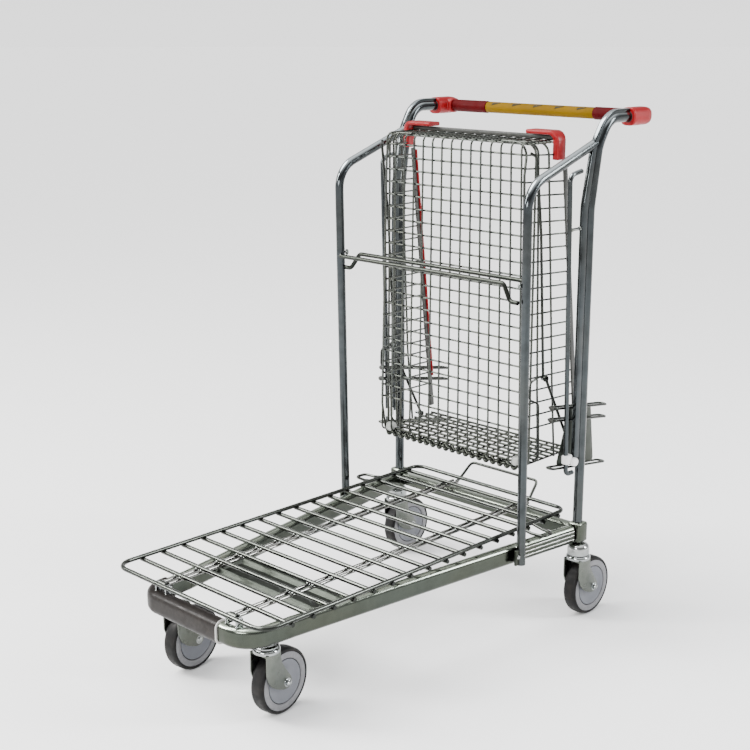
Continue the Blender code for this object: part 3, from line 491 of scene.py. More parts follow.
def build_hinge(label, side):
    """Two ears and a pin for one of the deck's beams; gives their welds."""
    ear = [(-0.0075, -0.0107), (0.0075, -0.0107), (0.0075, 0.005), (0.0045, 0.01), (-0.0045, 0.01),
           (-0.0075, 0.005)]
    welds = []
    for tag, offset in (("a", -0.0144), ("b", 0.0144)):
        x = side * BEAM_X + offset
        stand = Matrix.Translation((x, DECK_PIN.y, 0.199)) @ quarter("X") @ quarter("Y")
        plate("hinge_ear_%s_%s" % (label, tag), ear, 0.004, stand, "frame", CHROME)
        welds += [(Vector((x, DECK_PIN.y + y, 0.1905)), (0, 1, 0)) for y in (-0.006, 0.006)]
    pin = [(side * BEAM_X + offset, DECK_PIN.y, DECK_PIN.z) for offset in (-0.0185, 0.0185)]
    wires("hinge_pin_" + label, [pin], 0.0024, "frame", CHROME)
    return welds


def build_cross_plate():
    """A sheet with two pressed ribs, bolted through its middle."""
    near, far = low("base_cross_plate"), high("base_cross_plate")
    sheet, flange, rib_width, steps = 0.003, 0.006, 0.02, 12
    line = [(near.y, near.z), (near.y + flange, near.z), (far.y, near.z)]
    for start in (near.y + flange, far.y - flange - rib_width):
        for step in range(steps + 1):
            part = step / steps
            swell = (0.5 - 0.5 * math.cos(2 * math.pi * part)) ** 0.7
            line.append((start + rib_width * part, near.z + (far.z - near.z - sheet) * swell))
    line.sort()
    ring = line + [(y, z + sheet) for y, z in reversed(line)]
    bm = bmesh.new()
    join_loops(bm, [[bm.verts.new((x, y, z)) for y, z in ring] for x in (-far.x, far.x)])
    piece(new_mesh("cross_plate", bm), "frame", ZINC_SHEET, ["base_cross_plate"])
    bolt = [(0, 0.0046), (0.0042, 0.004), (0.0058, 0.0022), (0.0062, 0.0), (0.0062, -0.0012), (0, -0.0012)]
    for index, x in enumerate((-0.085, 0.0, 0.085)):
        lathe("cross_plate_bolt_%d" % index, bolt, (x, (near.y + far.y) / 2, near.z + sheet + 0.0008),
              (0, 0, 1), "frame", CHROME, steps=24)


# ---------------------------------------------------------------- deck
DECK_Z = 0.2204
ROD_Z = DECK_Z - 0.0064
DECK_HALF = 0.2115
ROD_R, WIRE_R = 0.0043, 0.0032
DECK_FRONT, DECK_REAR = low("deck_grid").y + ROD_R, high("deck_grid").y - ROD_R
ROD_COUNT, ROD_PITCH, FIRST_ROD = 16, 0.0501, -0.4398
BEAM_Z = ROD_Z - 0.0071
TWIN = 0.007
LOOP_Z = 0.214


def build_deck():
    corners = [(DECK_HALF, DECK_FRONT, DECK_Z), (DECK_HALF, DECK_REAR, DECK_Z),
               (-DECK_HALF, DECK_REAR, DECK_Z), (-DECK_HALF, DECK_FRONT, DECK_Z)]
    rim = rounded(corners, (0.0321, 0.0235, 0.0235, 0.0321), 12, True)
    wires("deck_rim", [rim], ROD_R, "deck", ZINC_DECK, ["deck_grid"], 5, True)
    rods, beam_welds, rim_welds = [], [], []
    for index in range(ROD_COUNT):
        y = FIRST_ROD + index * ROD_PITCH
        reach = DECK_HALF + 0.0056
        rods.append([(-reach, y, ROD_Z), (reach, y, ROD_Z)])
        for _, side in SIDES:
            rim_welds.append((at(side, DECK_HALF + 0.001, y, ROD_Z + 0.003), (0, 1, 0)))
            for offset in (-TWIN, TWIN):
                for shift in (0.0028, -0.0028):
                    spot = Vector((side * BEAM_X + offset, y + shift, ROD_Z - 0.0034))
                    beam_welds.append((spot, (1, 0, 0)))
    wires("deck_rods", rods, ROD_R, "deck", ZINC_DECK)
    beads("deck_rim_welds", rim_welds, 0.0029, "deck")
    beads("deck_beam_welds", beam_welds, 0.0024, "deck")
    for label, side in SIDES:
        edge = DECK_HALF - 0.0011
        loop = [(edge, 0.1905, DECK_Z - 0.0011), (0.2386, 0.1915, LOOP_Z), (0.2675, 0.1947, LOOP_Z),
                (0.2675, 0.2226, LOOP_Z), (0.2386, 0.2258, LOOP_Z), (edge, 0.2268, DECK_Z - 0.0011)]
        wires("deck_side_loop_" + label, [rounded(mirrored(loop, side), 0.011, 8)], WIRE_R, "deck",
              ZINC_DECK)
        twins = []
        for x in (side * BEAM_X - TWIN, side * BEAM_X + TWIN):
            hook = [(x, DECK_PIN.y + 0.0062, DECK_PIN.z + 0.001), (x, DECK_PIN.y + 0.013, BEAM_Z),
                    (x, DECK_REAR + 0.0064, BEAM_Z)]
            twins.append(rounded(hook, 0.006, 5))
        wires("deck_twin_beam_" + label, twins, WIRE_R, "deck", ZINC_HIGHLIGHT_RIB, ["deck_beam_" + label])
        eye = both_faces([(0.003, 0.01), (0.0056, 0.01), (0.0062, 0.0092)])
        lathe("deck_hinge_eye_" + label, eye, (side * BEAM_X, DECK_PIN.y, DECK_PIN.z), (1, 0, 0), "deck",
              ZINC_DECK, (), 32)
    lift = [(0.1, DECK_REAR + 0.007, BEAM_Z), (0.1, DECK_REAR + 0.0171, BEAM_Z + 0.0011),
            (0.0942, 0.3948, 0.242)]
    lift += [(-x, y, z) for x, y, z in reversed(lift)]
    wires("deck_lift_handle", [rounded(lift, 0.011, 10)], WIRE_R, "deck", ZINC_DECK, ["deck_lift_loop"])


# ---------------------------------------------------------------- uprights, side tubes, guides
UPRIGHT_X, UPRIGHT_Y, UPRIGHT_R = 0.2547, 0.3247, 0.0102
UPRIGHT_FOOT = low("upright_right").z
HANDLE = middle("handle_bar")
HANDLE_X = high("handle_cap_right").x - 0.0182
CAP_R = 0.0182
SIDE_TUBE = Vector((0.2523, 0.1316, 0.9159))
SIDE_FOOT = Vector((0.2498, 0.1445, low("side_tube_right").z + 0.001))
SIDE_R = 0.0091
GUIDE_X, GUIDE_R = 0.2515, 0.0048
GUIDE_TOP, GUIDE_LOW = (0.2621, 0.9405), (0.2814, 0.3349)
BRIDGE_Z, BUSH_Z = 0.8239, 0.3531
STRIP_GAP, STRIP_LOW_Z, STRIP_BEND_Z = UPRIGHT_R + 0.0075, 0.3531, 0.9
STRIP_Y = UPRIGHT_Y - STRIP_GAP


def upright_path():
    corners = [(UPRIGHT_X, UPRIGHT_Y, UPRIGHT_FOOT + 0.0128), (UPRIGHT_X, UPRIGHT_Y, 0.8614),
               (HANDLE_X - 0.0021, UPRIGHT_Y + 0.0182, 0.9823), (HANDLE_X, UPRIGHT_Y + 0.0471, 1.0336),
               (HANDLE_X, HANDLE.y - CAP_R - 0.0193, HANDLE.z)]
    return rounded(corners, (0.0, 0.1712, 0.0749, 0.0449, 0.0), 12)


def guide_y(z):
    """The guide rods lean, so their Y follows from the height."""
    (top_y, top_z), (low_y, low_z) = GUIDE_TOP, GUIDE_LOW
    return top_y + (low_y - top_y) / (low_z - top_z) * (z - top_z)


def strip_path():
    """The guide strip lies along the front of the upright and closes on it towards the cap."""
    path = upright_path()
    path[0].z = STRIP_LOW_Z
    last = len(path) - 1
    result = []
    for index, point in enumerate(path):
        ahead = (path[min(index + 1, last)] - path[max(index - 1, 0)]).normalized()
        bent = min(max((point.z - STRIP_BEND_Z) / (HANDLE.z - STRIP_BEND_Z), 0.0), 1.0)
        outward = Vector((0.0, -ahead.z, ahead.y))
        result.append(point + outward * (STRIP_GAP + (0.0088 - STRIP_GAP) * bent))
    return result


def build_uprights():
    welds = []
    for label, side in SIDES:
        build_upright(label, side)
        welds += build_side_tube(label, side)
        welds += build_guide_rod(label, side)
    beads("upright_welds", welds, 0.0044, "frame")


def build_upright(label, side):
    """The bent tube in its welded foot, and the strip along its front."""
    wires("upright_tube_" + label, [mirrored(upright_path(), side)], UPRIGHT_R, "frame", ZINC_TUBE,
          ["upright_" + label], 8)
    foot_at = at(side, UPRIGHT_X + 0.0011, UPRIGHT_Y, UPRIGHT_FOOT + 0.0214)
    block("upright_foot_" + label, (0.03, 0.031, 0.0428), foot_at, "frame", ZINC_RAIL, bevel=0.0046)
    sweep("guide_strip_" + label, mirrored(strip_path(), side), section(0.0107, 0.0161, 0.0024, 4), "frame",
          ZINC_TUBE, upright=Vector((0, 1, 0)))


def build_side_tube(label, side):
    """The slanted tube with its end plug, tab and bolt; gives its welds."""
    end = (SIDE_TUBE.x + 0.0011, UPRIGHT_Y + 0.0125, 0.9874)
    post = mirrored(rounded([SIDE_FOOT, SIDE_TUBE, end], 0.0589, 18), side)
    wires("side_tube_bend_" + label, [post], SIDE_R, "frame", ZINC_TUBE, ["side_tube_" + label], 8)
    plug = [(0, 0.0), (0.006, 0.0004), (0.0085, 0.0022), (SIDE_R, 0.005), (SIDE_R, 0.0072), (0.008, 0.008),
            (0, 0.008)]
    lathe("side_tube_plug_" + label, plug, at(side, SIDE_FOOT.x, SIDE_FOOT.y, SIDE_FOOT.z - 0.0006),
          (0, 0, 1), "frame", ZINC_TUBE, steps=40)
    tab_at = at(side, SIDE_FOOT.x - 0.0008, SIDE_FOOT.y - 0.0107, SIDE_FOOT.z + 0.0171)
    block("side_tube_tab_" + label, (0.0058, 0.0148, 0.0321), tab_at, "frame", ZINC_SHEET, bevel=0.0014)
    bolt = [(0, 0.004), (0.0032, 0.0034), (0.0046, 0.0016), (0.0046, 0.0), (0, 0.0)]
    lathe("side_tube_bolt_" + label, bolt, tab_at + at(side, 0.0027, -0.001, 0.002), (side, 0, 0), "frame",
          CHROME, steps=24)
    return [(at(side, SIDE_TUBE.x + 0.001, UPRIGHT_Y + y, z), (0, 0.6, 0.8))
            for y, z in ((0.006, 0.976), (-0.001, 0.98))]


def build_guide_rod(label, side):
    """The rod that the slide bush runs on, bridged to the strip; gives its welds."""
    (top_y, top_z), (low_y, low_z) = GUIDE_TOP, GUIDE_LOW
    guide = [(GUIDE_X, STRIP_Y - 0.0086, top_z - 0.0043), (GUIDE_X, top_y, top_z - 0.0107),
             (GUIDE_X, low_y, low_z - 0.0139), (GUIDE_X, STRIP_Y - 0.0036, low_z - 0.0139)]
    wires("guide_rod_wire_" + label, [mirrored(rounded(guide, 0.016, 10), side)], GUIDE_R, "frame",
          ZINC_TUBE, ["guide_rod_" + label], 6)
    bridge_y = guide_y(BRIDGE_Z)
    bridge = [at(side, GUIDE_X, y, BRIDGE_Z) for y in (bridge_y, STRIP_Y - 0.004)]
    wires("guide_bridge_" + label, [bridge], WIRE_R, "frame", CHROME)
    return [(at(side, GUIDE_X, y, BRIDGE_Z), (1, 0, 0)) for y in (bridge_y + 0.004, STRIP_Y - 0.0075)]


def build_crossbar():
    inner = SIDE_TUBE.x - SIDE_R + 0.0006
    radius = 0.0045
    for name, side in (("crossbar_rear", 1.0), ("crossbar_front", -1.0)):
        y, z = high(name).y - radius, high(name).z - radius
        path = [(side * inner, y, z), (-side * 0.2033, y, z), (-side * 0.2247, y - 0.0054, z - 0.0321),
                (-side * inner, y - 0.0054, z - 0.0321)]
        wires(name + "_rod", [rounded(path, 0.012, 10)], radius, "frame", ZINC_SHADED_WIRE, [name], 6)
    welds = []
    for _, side in SIDES:
        for y, z in ((0.1445, 0.7388), (0.1263, 0.7319)):
            welds.append((at(side, inner - 0.001, y, z), (0, 0, 1)))
    beads("crossbar_welds", welds, 0.0042, "frame")


# ---------------------------------------------------------------- handle
MARKS = 5


def build_handle():
    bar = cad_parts["handle_bar"].data
    bar.materials.clear()
    bar.materials.append(ZINC_TUBE)
    for name, look, slot in (
            ("handle_grip", GRIP_YELLOW, "grip_yellow"), ("handle_sleeve_left", DARK_RED, "sleeve_red"),
            ("handle_sleeve_right", DARK_RED, "sleeve_red")):
        half, radius, bands = extent(name).x / 2, extent(name).z / 2, 12
        end = [(0.0101, half), (radius - 0.0012, half), (radius - 0.0004, half - 0.0004)]
        reach = half - 0.0014
        cover = [(radius, reach - 2 * reach * band / bands) for band in range(bands + 1)]
        profile = end + cover + [(r, -height) for r, height in reversed(end)]
        lathe(name + "_cover", profile, middle(name), (1, 0, 0), "frame", look, [name], 56)
    build_grip_marks()
    for label, side in SIDES:
        build_handle_cap(label, side)


def build_grip_marks():
    """Short dashes round the grip, each a thin curved patch that narrows towards one end."""
    reach = extent("handle_grip").z / 2 + 0.00025
    pitch = extent("handle_grip").x / MARKS
    bm = bmesh.new()
    for index in range(MARKS):
        start = low("handle_grip").x + pitch * (index + 0.3)
        grid = []
        for column in range(9):
            u = column / 8
            thin = 0.35 + 0.65 * (1.0 - u)
            turns = [math.radians(38.0 + 20.0 * u + line * 7.5 * thin) for line in range(-2, 3)]
            grid.append([bm.verts.new((start + 0.021 * u, HANDLE.y - reach * math.cos(turn),
                        HANDLE.z + reach * math.sin(turn))) for turn in turns])
        for near, far in zip(grid, grid[1:]):
            for line in range(4):
                bm.faces.new((near[line], far[line], far[line + 1], near[line + 1]))
    marks = new_mesh("grip_marks", bm)
    thick = marks.modifiers.new("ink", "SOLIDIFY")
    thick.thickness = 0.0003
    thick.offset = 0.0
    piece(marks, "frame", MARK_DARK, ())


def build_handle_cap(label, side):
    """A moulded elbow: a fat socket along Y with a collar towards the grip, blended together."""
    front, rear = low("handle_cap_" + label).y, high("handle_cap_" + label).y
    inner = HANDLE_X - low("handle_cap_right").x
    socket = [
        (0.0, front), (CAP_R - 0.0016, front), (CAP_R, front + 0.0016), (CAP_R, rear - 0.0225),
        (CAP_R - 0.0012, rear - 0.013), (0.0134, rear - 0.0052), (0.0075, rear - 0.0012),
        (0.0, rear - 0.0003)]
    collar = [(0.0, -0.004), (0.0158, -0.004), (0.0158, inner - 0.0012), (0.0148, inner - 0.0003),
              (0.0, inner - 0.0003)]
    centre = at(side, HANDLE_X, HANDLE.y, HANDLE.z)
    steps = 40
    bm = bmesh.new()
    for profile, along, start in (
            (socket, (0, 1, 0), at(side, HANDLE_X, 0, HANDLE.z)), (collar, (-side, 0, 0), centre)):
        turn = UP.rotation_difference(Vector(along)).to_matrix()
        loops = []
        for radius, height in profile:
            ring = []
            for step in range(steps):
                angle = 2 * math.pi * step / steps
                across, up = math.cos(angle), math.sin(angle)
                fuller = radius / (abs(across) ** 3 + abs(up) ** 3) ** (1 / 3)
                ring.append(bm.verts.new(turn @ Vector((fuller * across, fuller * up, height)) + start))
            loops.append(ring)
        join_loops(bm, loops, False)
    bmesh.ops.remove_doubles(bm, verts=bm.verts, dist=1e-6)
    cap = new_mesh("handle_cap_cover_" + label, bm)
    skin = cap.modifiers.new("skin", "REMESH")
    skin.mode = "VOXEL"
    skin.voxel_size = 0.0011
    skin.use_smooth_shade = True
    soften = cap.modifiers.new("soften", "SMOOTH")
    soften.factor = 0.5
    soften.iterations = 4
    piece(cap, "frame", CAP_RED, ["handle_cap_" + label])

    mouth = at(side, HANDLE_X, front, HANDLE.z)
    bore = UPRIGHT_R + 0.0006
    lip = [(bore, 0.0), (0.013, -0.001), (CAP_R - 0.002, -0.0006), (CAP_R - 0.001, 0.0004),
           (CAP_R - 0.0012, 0.0016), (bore, 0.0016)]
    lathe("handle_cap_lip_" + label, lip, mouth + Vector((0, 0.0012, 0)), (0, 1, 0), "frame", CAP_RED, (),
          48)
    # A thin dark disc at the cap's mouth: painted shade in the gap round the tube.
    gap_r = UPRIGHT_R + 0.0014
    lathe("handle_cap_gap_" + label, [(0, 0), (gap_r, 0), (gap_r, 0.0008), (0, 0.0008)],
          mouth - Vector((0, 0.0002, 0)), (0, 1, 0), "frame", GAP_SHADE_PAINT, steps=40)
    screw = [(0.0, -0.0006), (0.001, -0.0006), (0.0016, 0.0002), (0.003, 0.0004), (0.0038, -0.0004),
             (0.0042, -0.0022), (0.0, -0.0022)]
    lathe("handle_cap_screw_" + label, screw, centre + at(side, CAP_R - 0.0006, -0.004, 0), (side, 0, 0),
          "frame", CHROME, steps=28)


# ---------------------------------------------------------------- basket
GRID_R = 0.002
FLOOR_Y = middle("basket_floor_grid").y
FLOOR_LOW, FLOOR_TOP = low("basket_floor_grid").z + GRID_R, high("basket_floor_grid").z - GRID_R
TOP_HALF, BOTTOM_HALF = 0.1808, 0.1958
RIM_HALF = high("basket_rim_right").x - 0.0022
RIM_TOP, RIM_LOW = (0.3028, 0.9951), (0.3777, 0.3585)
TOP_Z, BOTTOM_Z = middle("basket_top_grid").z, middle("basket_bottom_grid").z
ROWS, COLUMNS = 22, 15
FIRST_ROW, LAST_ROW = 0.9684, 0.4184
WAVES = 20
BAIL_PIVOT = (0.2547, 0.5211)


def half_width(z):
    """Half the width of the basket's face at a height."""
    share = (FLOOR_TOP - z) / (FLOOR_TOP - FLOOR_LOW)
    return TOP_HALF + (BOTTOM_HALF - TOP_HALF) * share


def rim_y(z):
    """Where the side rim lies at a height."""
    share = (RIM_TOP[1] - z) / (RIM_TOP[1] - RIM_LOW[1])
    return RIM_TOP[0] + (RIM_LOW[0] - RIM_TOP[0]) * share


def build_basket():
    uprights, rows, side_rows = [], [], []
    front = FLOOR_Y + 0.0002
    for column in range(COLUMNS):
        u = (2.0 * column / (COLUMNS - 1) - 1.0) * 0.985
        x_top, x_low = u * half_width(0.96), u * half_width(0.36)
        line = [(x_top, RIM_TOP[0] - 0.004, TOP_Z), (x_top, front, TOP_Z - 0.001),
                (x_low, front, BOTTOM_Z + 0.002), (x_low, RIM_LOW[0] - 0.006, BOTTOM_Z + 0.004)]
        uprights.append(rounded(line, (0.0, 0.014, 0.012, 0.0), 7))
    for row in range(ROWS):
        z = FIRST_ROW + (LAST_ROW - FIRST_ROW) * row / (ROWS - 1)
        reach = half_width(z) + 0.004
        rows.append([(x, FLOOR_Y + 2 * GRID_R, z) for x in (-reach, reach)])
        for _, side in SIDES:
            side_rows.append([at(side, half_width(z) - 0.0008, FLOOR_Y + 0.0052, z - 0.001),
                             at(side, RIM_HALF - 0.003, rim_y(z) - 0.003, z - 0.004)])
    wires("basket_face_uprights", uprights, GRID_R, "basket", ZINC_WIRE,
          ["basket_floor_grid", "basket_top_grid"], 3)
    wires("basket_face_rows", rows, GRID_R, "basket", ZINC_WIRE, rings=3)
    wires("basket_side_rows", side_rows, GRID_R * 0.9, "basket", ZINC_WIRE,
          ["basket_side_grid_left", "basket_side_grid_right"], 3)

    near = FLOOR_Y + 0.016
    for name, count, far, half, z, radius, look, nodes in (
            ("basket_top_wires", 7, RIM_TOP[0] - 0.012, 0.188, TOP_Z - 2 * GRID_R, GRID_R, ZINC_WIRE, ()),
            ("basket_bottom_wires", 9, RIM_LOW[0] - 0.008, RIM_HALF - 0.006, BOTTOM_Z + 0.006,
            GRID_R * 1.25, ZINC_SHADED_WIRE, ["basket_bottom_grid"])):
        places = [near + (far - near) * row / (count - 1) for row in range(count)]
        wires(name, [[(x, y, z) for x in (-half, half)] for y in places], radius, "basket", look, nodes, 3)

    zigzag = []
    half = RIM_HALF - 0.018
    for shift, drop in ((0.008, 0.0115), (0.015, 0.006)):
        wave = []
        for step in range(WAVES * 2 + 1):
            down = step % 2
            wave.append((half * (step / WAVES - 1.0), FLOOR_Y + shift - 0.004 * down,
                        BOTTOM_Z + 0.003 - drop * down))
        zigzag.append(rounded(wave, 0.0045, 4))
    wires("basket_bottom_zigzag", zigzag, 0.0034, "basket", ZINC_SHADED_WIRE, rings=3)

    for label, side in SIDES:
        build_side_wires(label, side)
        build_bail(label, side)
        build_side_rim(label, side)
        build_basket_cap(label, side)
        build_foot_knob(label, side)
    deeper = Vector((0.0, 0.0, 0.004))
    block("basket_rim_top_cover", extent("basket_rim_top") + deeper, middle("basket_rim_top") - deeper / 2,
          "basket", RIM_GREY, ["basket_rim_top"], 0.0018)


def build_side_wires(label, side):
    """The long wires of a basket side, and the wire that rounds its front corner."""
    front_y, low_z = FLOOR_Y + 0.025, BOTTOM_Z + 0.004
    front = [(0.15, front_y, TOP_Z - 0.0012), (TOP_HALF + 0.014, front_y, TOP_Z - 0.004),
             (BOTTOM_HALF + 0.002, front_y, low_z)]
    rear = [(0.15, 0.2632, TOP_Z - 0.0012), (0.1965, 0.2632, TOP_Z - 0.004), (0.201, 0.2921, 0.507),
            (0.2, 0.308, low_z)]
    centre = [(0.15, 0.236, TOP_Z - 0.0012), (0.193, 0.236, TOP_Z - 0.004), (0.1975, 0.248, 0.507),
              (0.198, 0.256, low_z)]
    corner = [
        (0.12, FLOOR_Y + 0.013, TOP_Z), (TOP_HALF + 0.004, FLOOR_Y + 0.012, TOP_Z - 0.001),
        (TOP_HALF + 0.0035, FLOOR_Y + 0.004, 0.93), (BOTTOM_HALF + 0.0005, FLOOR_Y + 0.004, 0.4),
        (BOTTOM_HALF + 0.001, FLOOR_Y + 0.015, low_z)]
    lines = [rounded(mirrored(line, side), (0, 0.028, 0.1, 0), 8) for line in (rear, centre)]
    lines.insert(0, rounded(mirrored(front, side), (0, 0.028, 0), 8))
    wires("basket_side_lines_" + label, lines, GRID_R * 1.15, "basket", ZINC_WIRE, rings=3)
    wires("basket_corner_line_" + label, [rounded(mirrored(corner, side), (0, 0.03, 0.02, 0.02, 0), 8)],
          GRID_R * 1.25, "basket", ZINC_WIRE, rings=3)


def build_bail(label, side):
    """The thick wire down each side, its hook and the boss that the link turns on."""
    x = middle("basket_bail_" + label).x
    pivot = Vector((x, *BAIL_PIVOT))
    bail = [(x - side * 0.01, FLOOR_Y + 0.004, high("basket_bail_right").z - 0.003),
            (x, FLOOR_Y + 0.0128, 0.9655), (x, 0.2343, 0.8132), pivot]
    hook = [pivot, (x, 0.244, 0.5262), (x, 0.2137, 0.5195), (x, 0.2125, 0.4835), (x, 0.2417, 0.47),
            (x, 0.2466, 0.357), (x - side * 0.014, 0.2466, BOTTOM_Z + 0.006)]
    hook = rounded(hook, (0, 0.008, 0.01, 0.01, 0.01, 0.012, 0), 7)
    wires("basket_hook_wire_" + label, [hook], 0.0022, "basket", ZINC_DECK)
    wires("basket_bail_wire_" + label, [rounded(bail, (0, 0.01, 0.05, 0), 8)], 0.0028, "basket", ZINC_DECK,
          ["basket_bail_" + label])
    lathe("basket_bail_boss_" + label, chamfered(0.0046, 0.0033, 0.001), pivot, (1, 0, 0), "basket", CHROME,
          steps=24)


def build_side_rim(label, side):
    """A dark rim up each side with a red strip along it."""
    lean = math.atan2(RIM_LOW[0] - RIM_TOP[0], RIM_TOP[1] - RIM_LOW[1])
    lie = Matrix.Rotation(lean, 3, "X")
    centre = middle("basket_rim_" + label)
    length = extent("basket_rim_" + label).z / math.cos(lean) - 0.002
    block("basket_rim_cover_" + label, (0.0042, 0.0126, length), centre, "basket", RIM_GREY,
          ["basket_rim_" + label], 0.0016, lie)
    top, bottom = centre.z + length / 2 - 0.004, 0.43
    z = (top + bottom) / 2
    spot = at(side, RIM_HALF - 0.003, rim_y(z) + 0.0052, z)
    block("basket_red_strip_" + label, (0.0064, 0.0034, top - bottom), spot, "basket", CAP_RED, (),
          0.0012, lie)


def build_basket_cap(label, side):
    """A red elbow over the top corner: a flat arm inwards and a thicker leg down."""
    name = "basket_cap_" + label
    inner_x, outer_x = sorted((abs(low(name).x), abs(high(name).x)))
    arm, leg = 0.0086, 0.015
    y, arm_z, leg_x = middle(name).y + 0.003, high(name).z - arm / 2 - 0.0012, outer_x - leg / 2 - 0.001
    corners = [(inner_x, y, arm_z), (leg_x, y, arm_z), (leg_x, y, low(name).z + 0.0004)]
    line = rounded(mirrored(corners, side), 0.015, 12)
    bends = [min(max((arm_z - point.z) / 0.015, 0.0), 1.0) for point in line]
    sizes = [(1.0 - 0.25 * bend, 1.0 + (leg / arm - 1.0) * bend) for bend in bends]
    elbow = sweep(
        "basket_cap_cover_" + label, line, section(0.034, arm, 0.0034, 5), "basket", CAP_RED, [name],
        sizes, at(side, 0.7, 0.0, 0.7))
    soften = elbow.modifiers.new("edge", "BEVEL")
    soften.width = 0.0012
    soften.segments = 3
    soften.limit_method = "ANGLE"
    soften.angle_limit = math.radians(50)


def build_foot_knob(label, side):
    """A grey end cap, between a ball and a box."""
    name = "basket_foot_cap_" + label
    centre = middle(name) - at(side, 0.013, 0.01, 0.001)
    size = (extent(name).x, 0.019, 0.02)
    bm = bmesh.new()
    bmesh.ops.create_uvsphere(bm, u_segments=32, v_segments=20, radius=0.5)
    for vert in bm.verts:
        fuller = [math.copysign(abs(2 * value) ** 0.62, value) / 2 for value in vert.co]
        vert.co = Vector([value * stretch for value, stretch in zip(fuller, size)]) + centre
    piece(new_mesh("basket_foot_knob_" + label, bm, 60.0), "basket", PALE_GREY, [name])


# ---------------------------------------------------------------- carriage and links
LOOPS = (
    ((0.2379, 0.2456, 0.4661), (0.222, 0.4472, 0.433)), ((0.2379, 0.2434, 0.4414), (0.222, 0.4465, 0.4065)),
    ((0.2379, 0.2432, 0.3398), (0.222, 0.4483, 0.3061)))
LOOP_HALF, LOOP_R = 0.009, 0.0025
PLATE_X, LINK_X = 0.2311, 0.214
LINK_PIVOT = (0.3531, 0.3424)


def build_carriage():
    """Each side: three hairpin wires, a slide bush, the fold link and, on the right, a plate."""
    for label, side in SIDES:
        loops = []
        for front, rear in LOOPS:
            around = ((front, LOOP_HALF), (rear, LOOP_HALF), (rear, -LOOP_HALF), (front, -LOOP_HALF))
            corners = [(x + shift, y, z) for (x, y, z), shift in around]
            loops.append(mirrored(rounded(corners, LOOP_HALF * 0.98, 10, True), side))
        wires("carriage_loops_" + label, loops, LOOP_R, "carriage", ZINC_DECK, ["carriage_cage_" + label],
              4, True)
        bead = [(0.0, 0.0062), (0.0034, 0.0052), (0.005, 0.0026), (0.0053, 0.0), (0.005, -0.0026),
                (0.0034, -0.0052), (0.0, -0.0062)]
        for index, ((x, y, z), _) in enumerate(LOOPS[:2]):
            lathe("carriage_bead_%s_%d" % (label, index), bead, at(side, x, y + 0.001, z), (1, 0, 0),
                  "carriage", RIM_GREY, (), 28)
        if side > 0:
            outline = [(0.2739, 0.3338), (0.4034, 0.3167), (0.3873, 0.4451), (0.3167, 0.458)]
            stand = Matrix.Translation((PLATE_X, 0, 0)) @ quarter("Z") @ quarter("X")
            plate("carriage_plate_" + label, rounded_outline(outline, 0.01, 6), 0.0026, stand, "carriage",
                  ZINC_SHEET)
        lathe("carriage_pin_" + label, chamfered(0.0032, 0.0092, 0.0008),
              at(side, PLATE_X - 0.0086, *LINK_PIVOT), (1, 0, 0), "carriage", CHROME, steps=24)
        build_bush(label, side)

        lower, upper = at(side, LINK_X, *LINK_PIVOT), at(side, LINK_X, *BAIL_PIVOT)
        wires("fold_link_rod_" + label, [[lower, upper]], 0.003, "links", ZINC_DECK, ["fold_link_" + label],
              5)
        eye = chamfered(0.0064, 0.003, 0.0008, 0.0034)
        for name, spot in (("low", lower), ("high", upper)):
            lathe("fold_link_eye_%s_%s" % (name, label), eye, spot, (1, 0, 0), "links", ZINC_DECK, (),
                  32)


def build_bush(label, side):
    """A white block round the guide rod, leaning with it, and a round button."""
    (top_y, top_z), (low_y, low_z) = GUIDE_TOP, GUIDE_LOW
    lie = Matrix.Rotation(math.atan((low_y - top_y) / (top_z - low_z)), 3, "X")
    block("bush_body_" + label, (0.016, 0.02, 0.02), at(side, GUIDE_X, guide_y(BUSH_Z) + 0.0032, BUSH_Z),
          "carriage", BUSH_WHITE, ["slide_bush_" + label], 0.004, lie, 4)
    button = [(0, 0.0042), (0.006, 0.0041), (0.008, 0.0032), (0.009, 0.0014), (0.0091, -0.001),
              (0.0091, -0.004), (0, -0.004)]
    spot = at(side, GUIDE_X + 0.0112, guide_y(BUSH_Z) + 0.015, BUSH_Z - 0.006)
    lathe("bush_button_" + label, button, spot, (side, 0, 0), "carriage", BUSH_WHITE, (), 40)


# ---------------------------------------------------------------- casters
WHEEL_R, TYRE_HALF = 0.0625, 0.0149
CROWN_LOW, CROWN_TOP = 0.1321, 0.1402


def build_caster(end, label):
    name = "caster_%s_%s" % (end, label)
    stem = middle(name + "_head")
    stem.z = 0.0
    axle = middle(name + "_tyre")
    ahead = Vector((axle.x - stem.x, axle.y - stem.y, 0.0)).normalized()
    across = Vector((ahead.y, -ahead.x, 0.0)) * math.copysign(1.0, stem.x)
    build_caster_head(name, stem)
    build_fork(name, stem, ahead, across)
    build_axle(name, axle, across)
    build_wheel(name, axle, across)


def build_caster_head(name, stem):
    """The fixed cup over the bearing, and under it a dark disc in the running gap, as painted shade."""
    top = high(name + "_head").z
    if top - CROWN_TOP > 0.012:
        cup = [(0.0, top), (0.01, top), (0.015, top - 0.0006), (0.0193, top - 0.0024), (0.022, top - 0.006),
               (0.0229, top - 0.0105), (0.023, CROWN_TOP + 0.0036)]
    else:
        cup = [(0.0, top), (0.014, top), (0.02, top - 0.001), (0.0228, top - 0.0026)]
    cup += [(0.0226, CROWN_TOP + 0.001), (0.0205, CROWN_TOP + 0.0004), (0.0, CROWN_TOP + 0.0004)]
    lathe(name + "_dome", cup, stem, (0, 0, 1), "frame", CHROME, [name + "_head"])
    # A dark disc in the running gap: painted shade.
    race = [(0, 0.0011), (0.0205, 0.0011), (0.0205, -0.0006), (0, -0.0006)]
    lathe(name + "_race", race, stem + UP * CROWN_TOP, (0, 0, 1), name + "_swivel", GAP_SHADE_PAINT, steps=48)


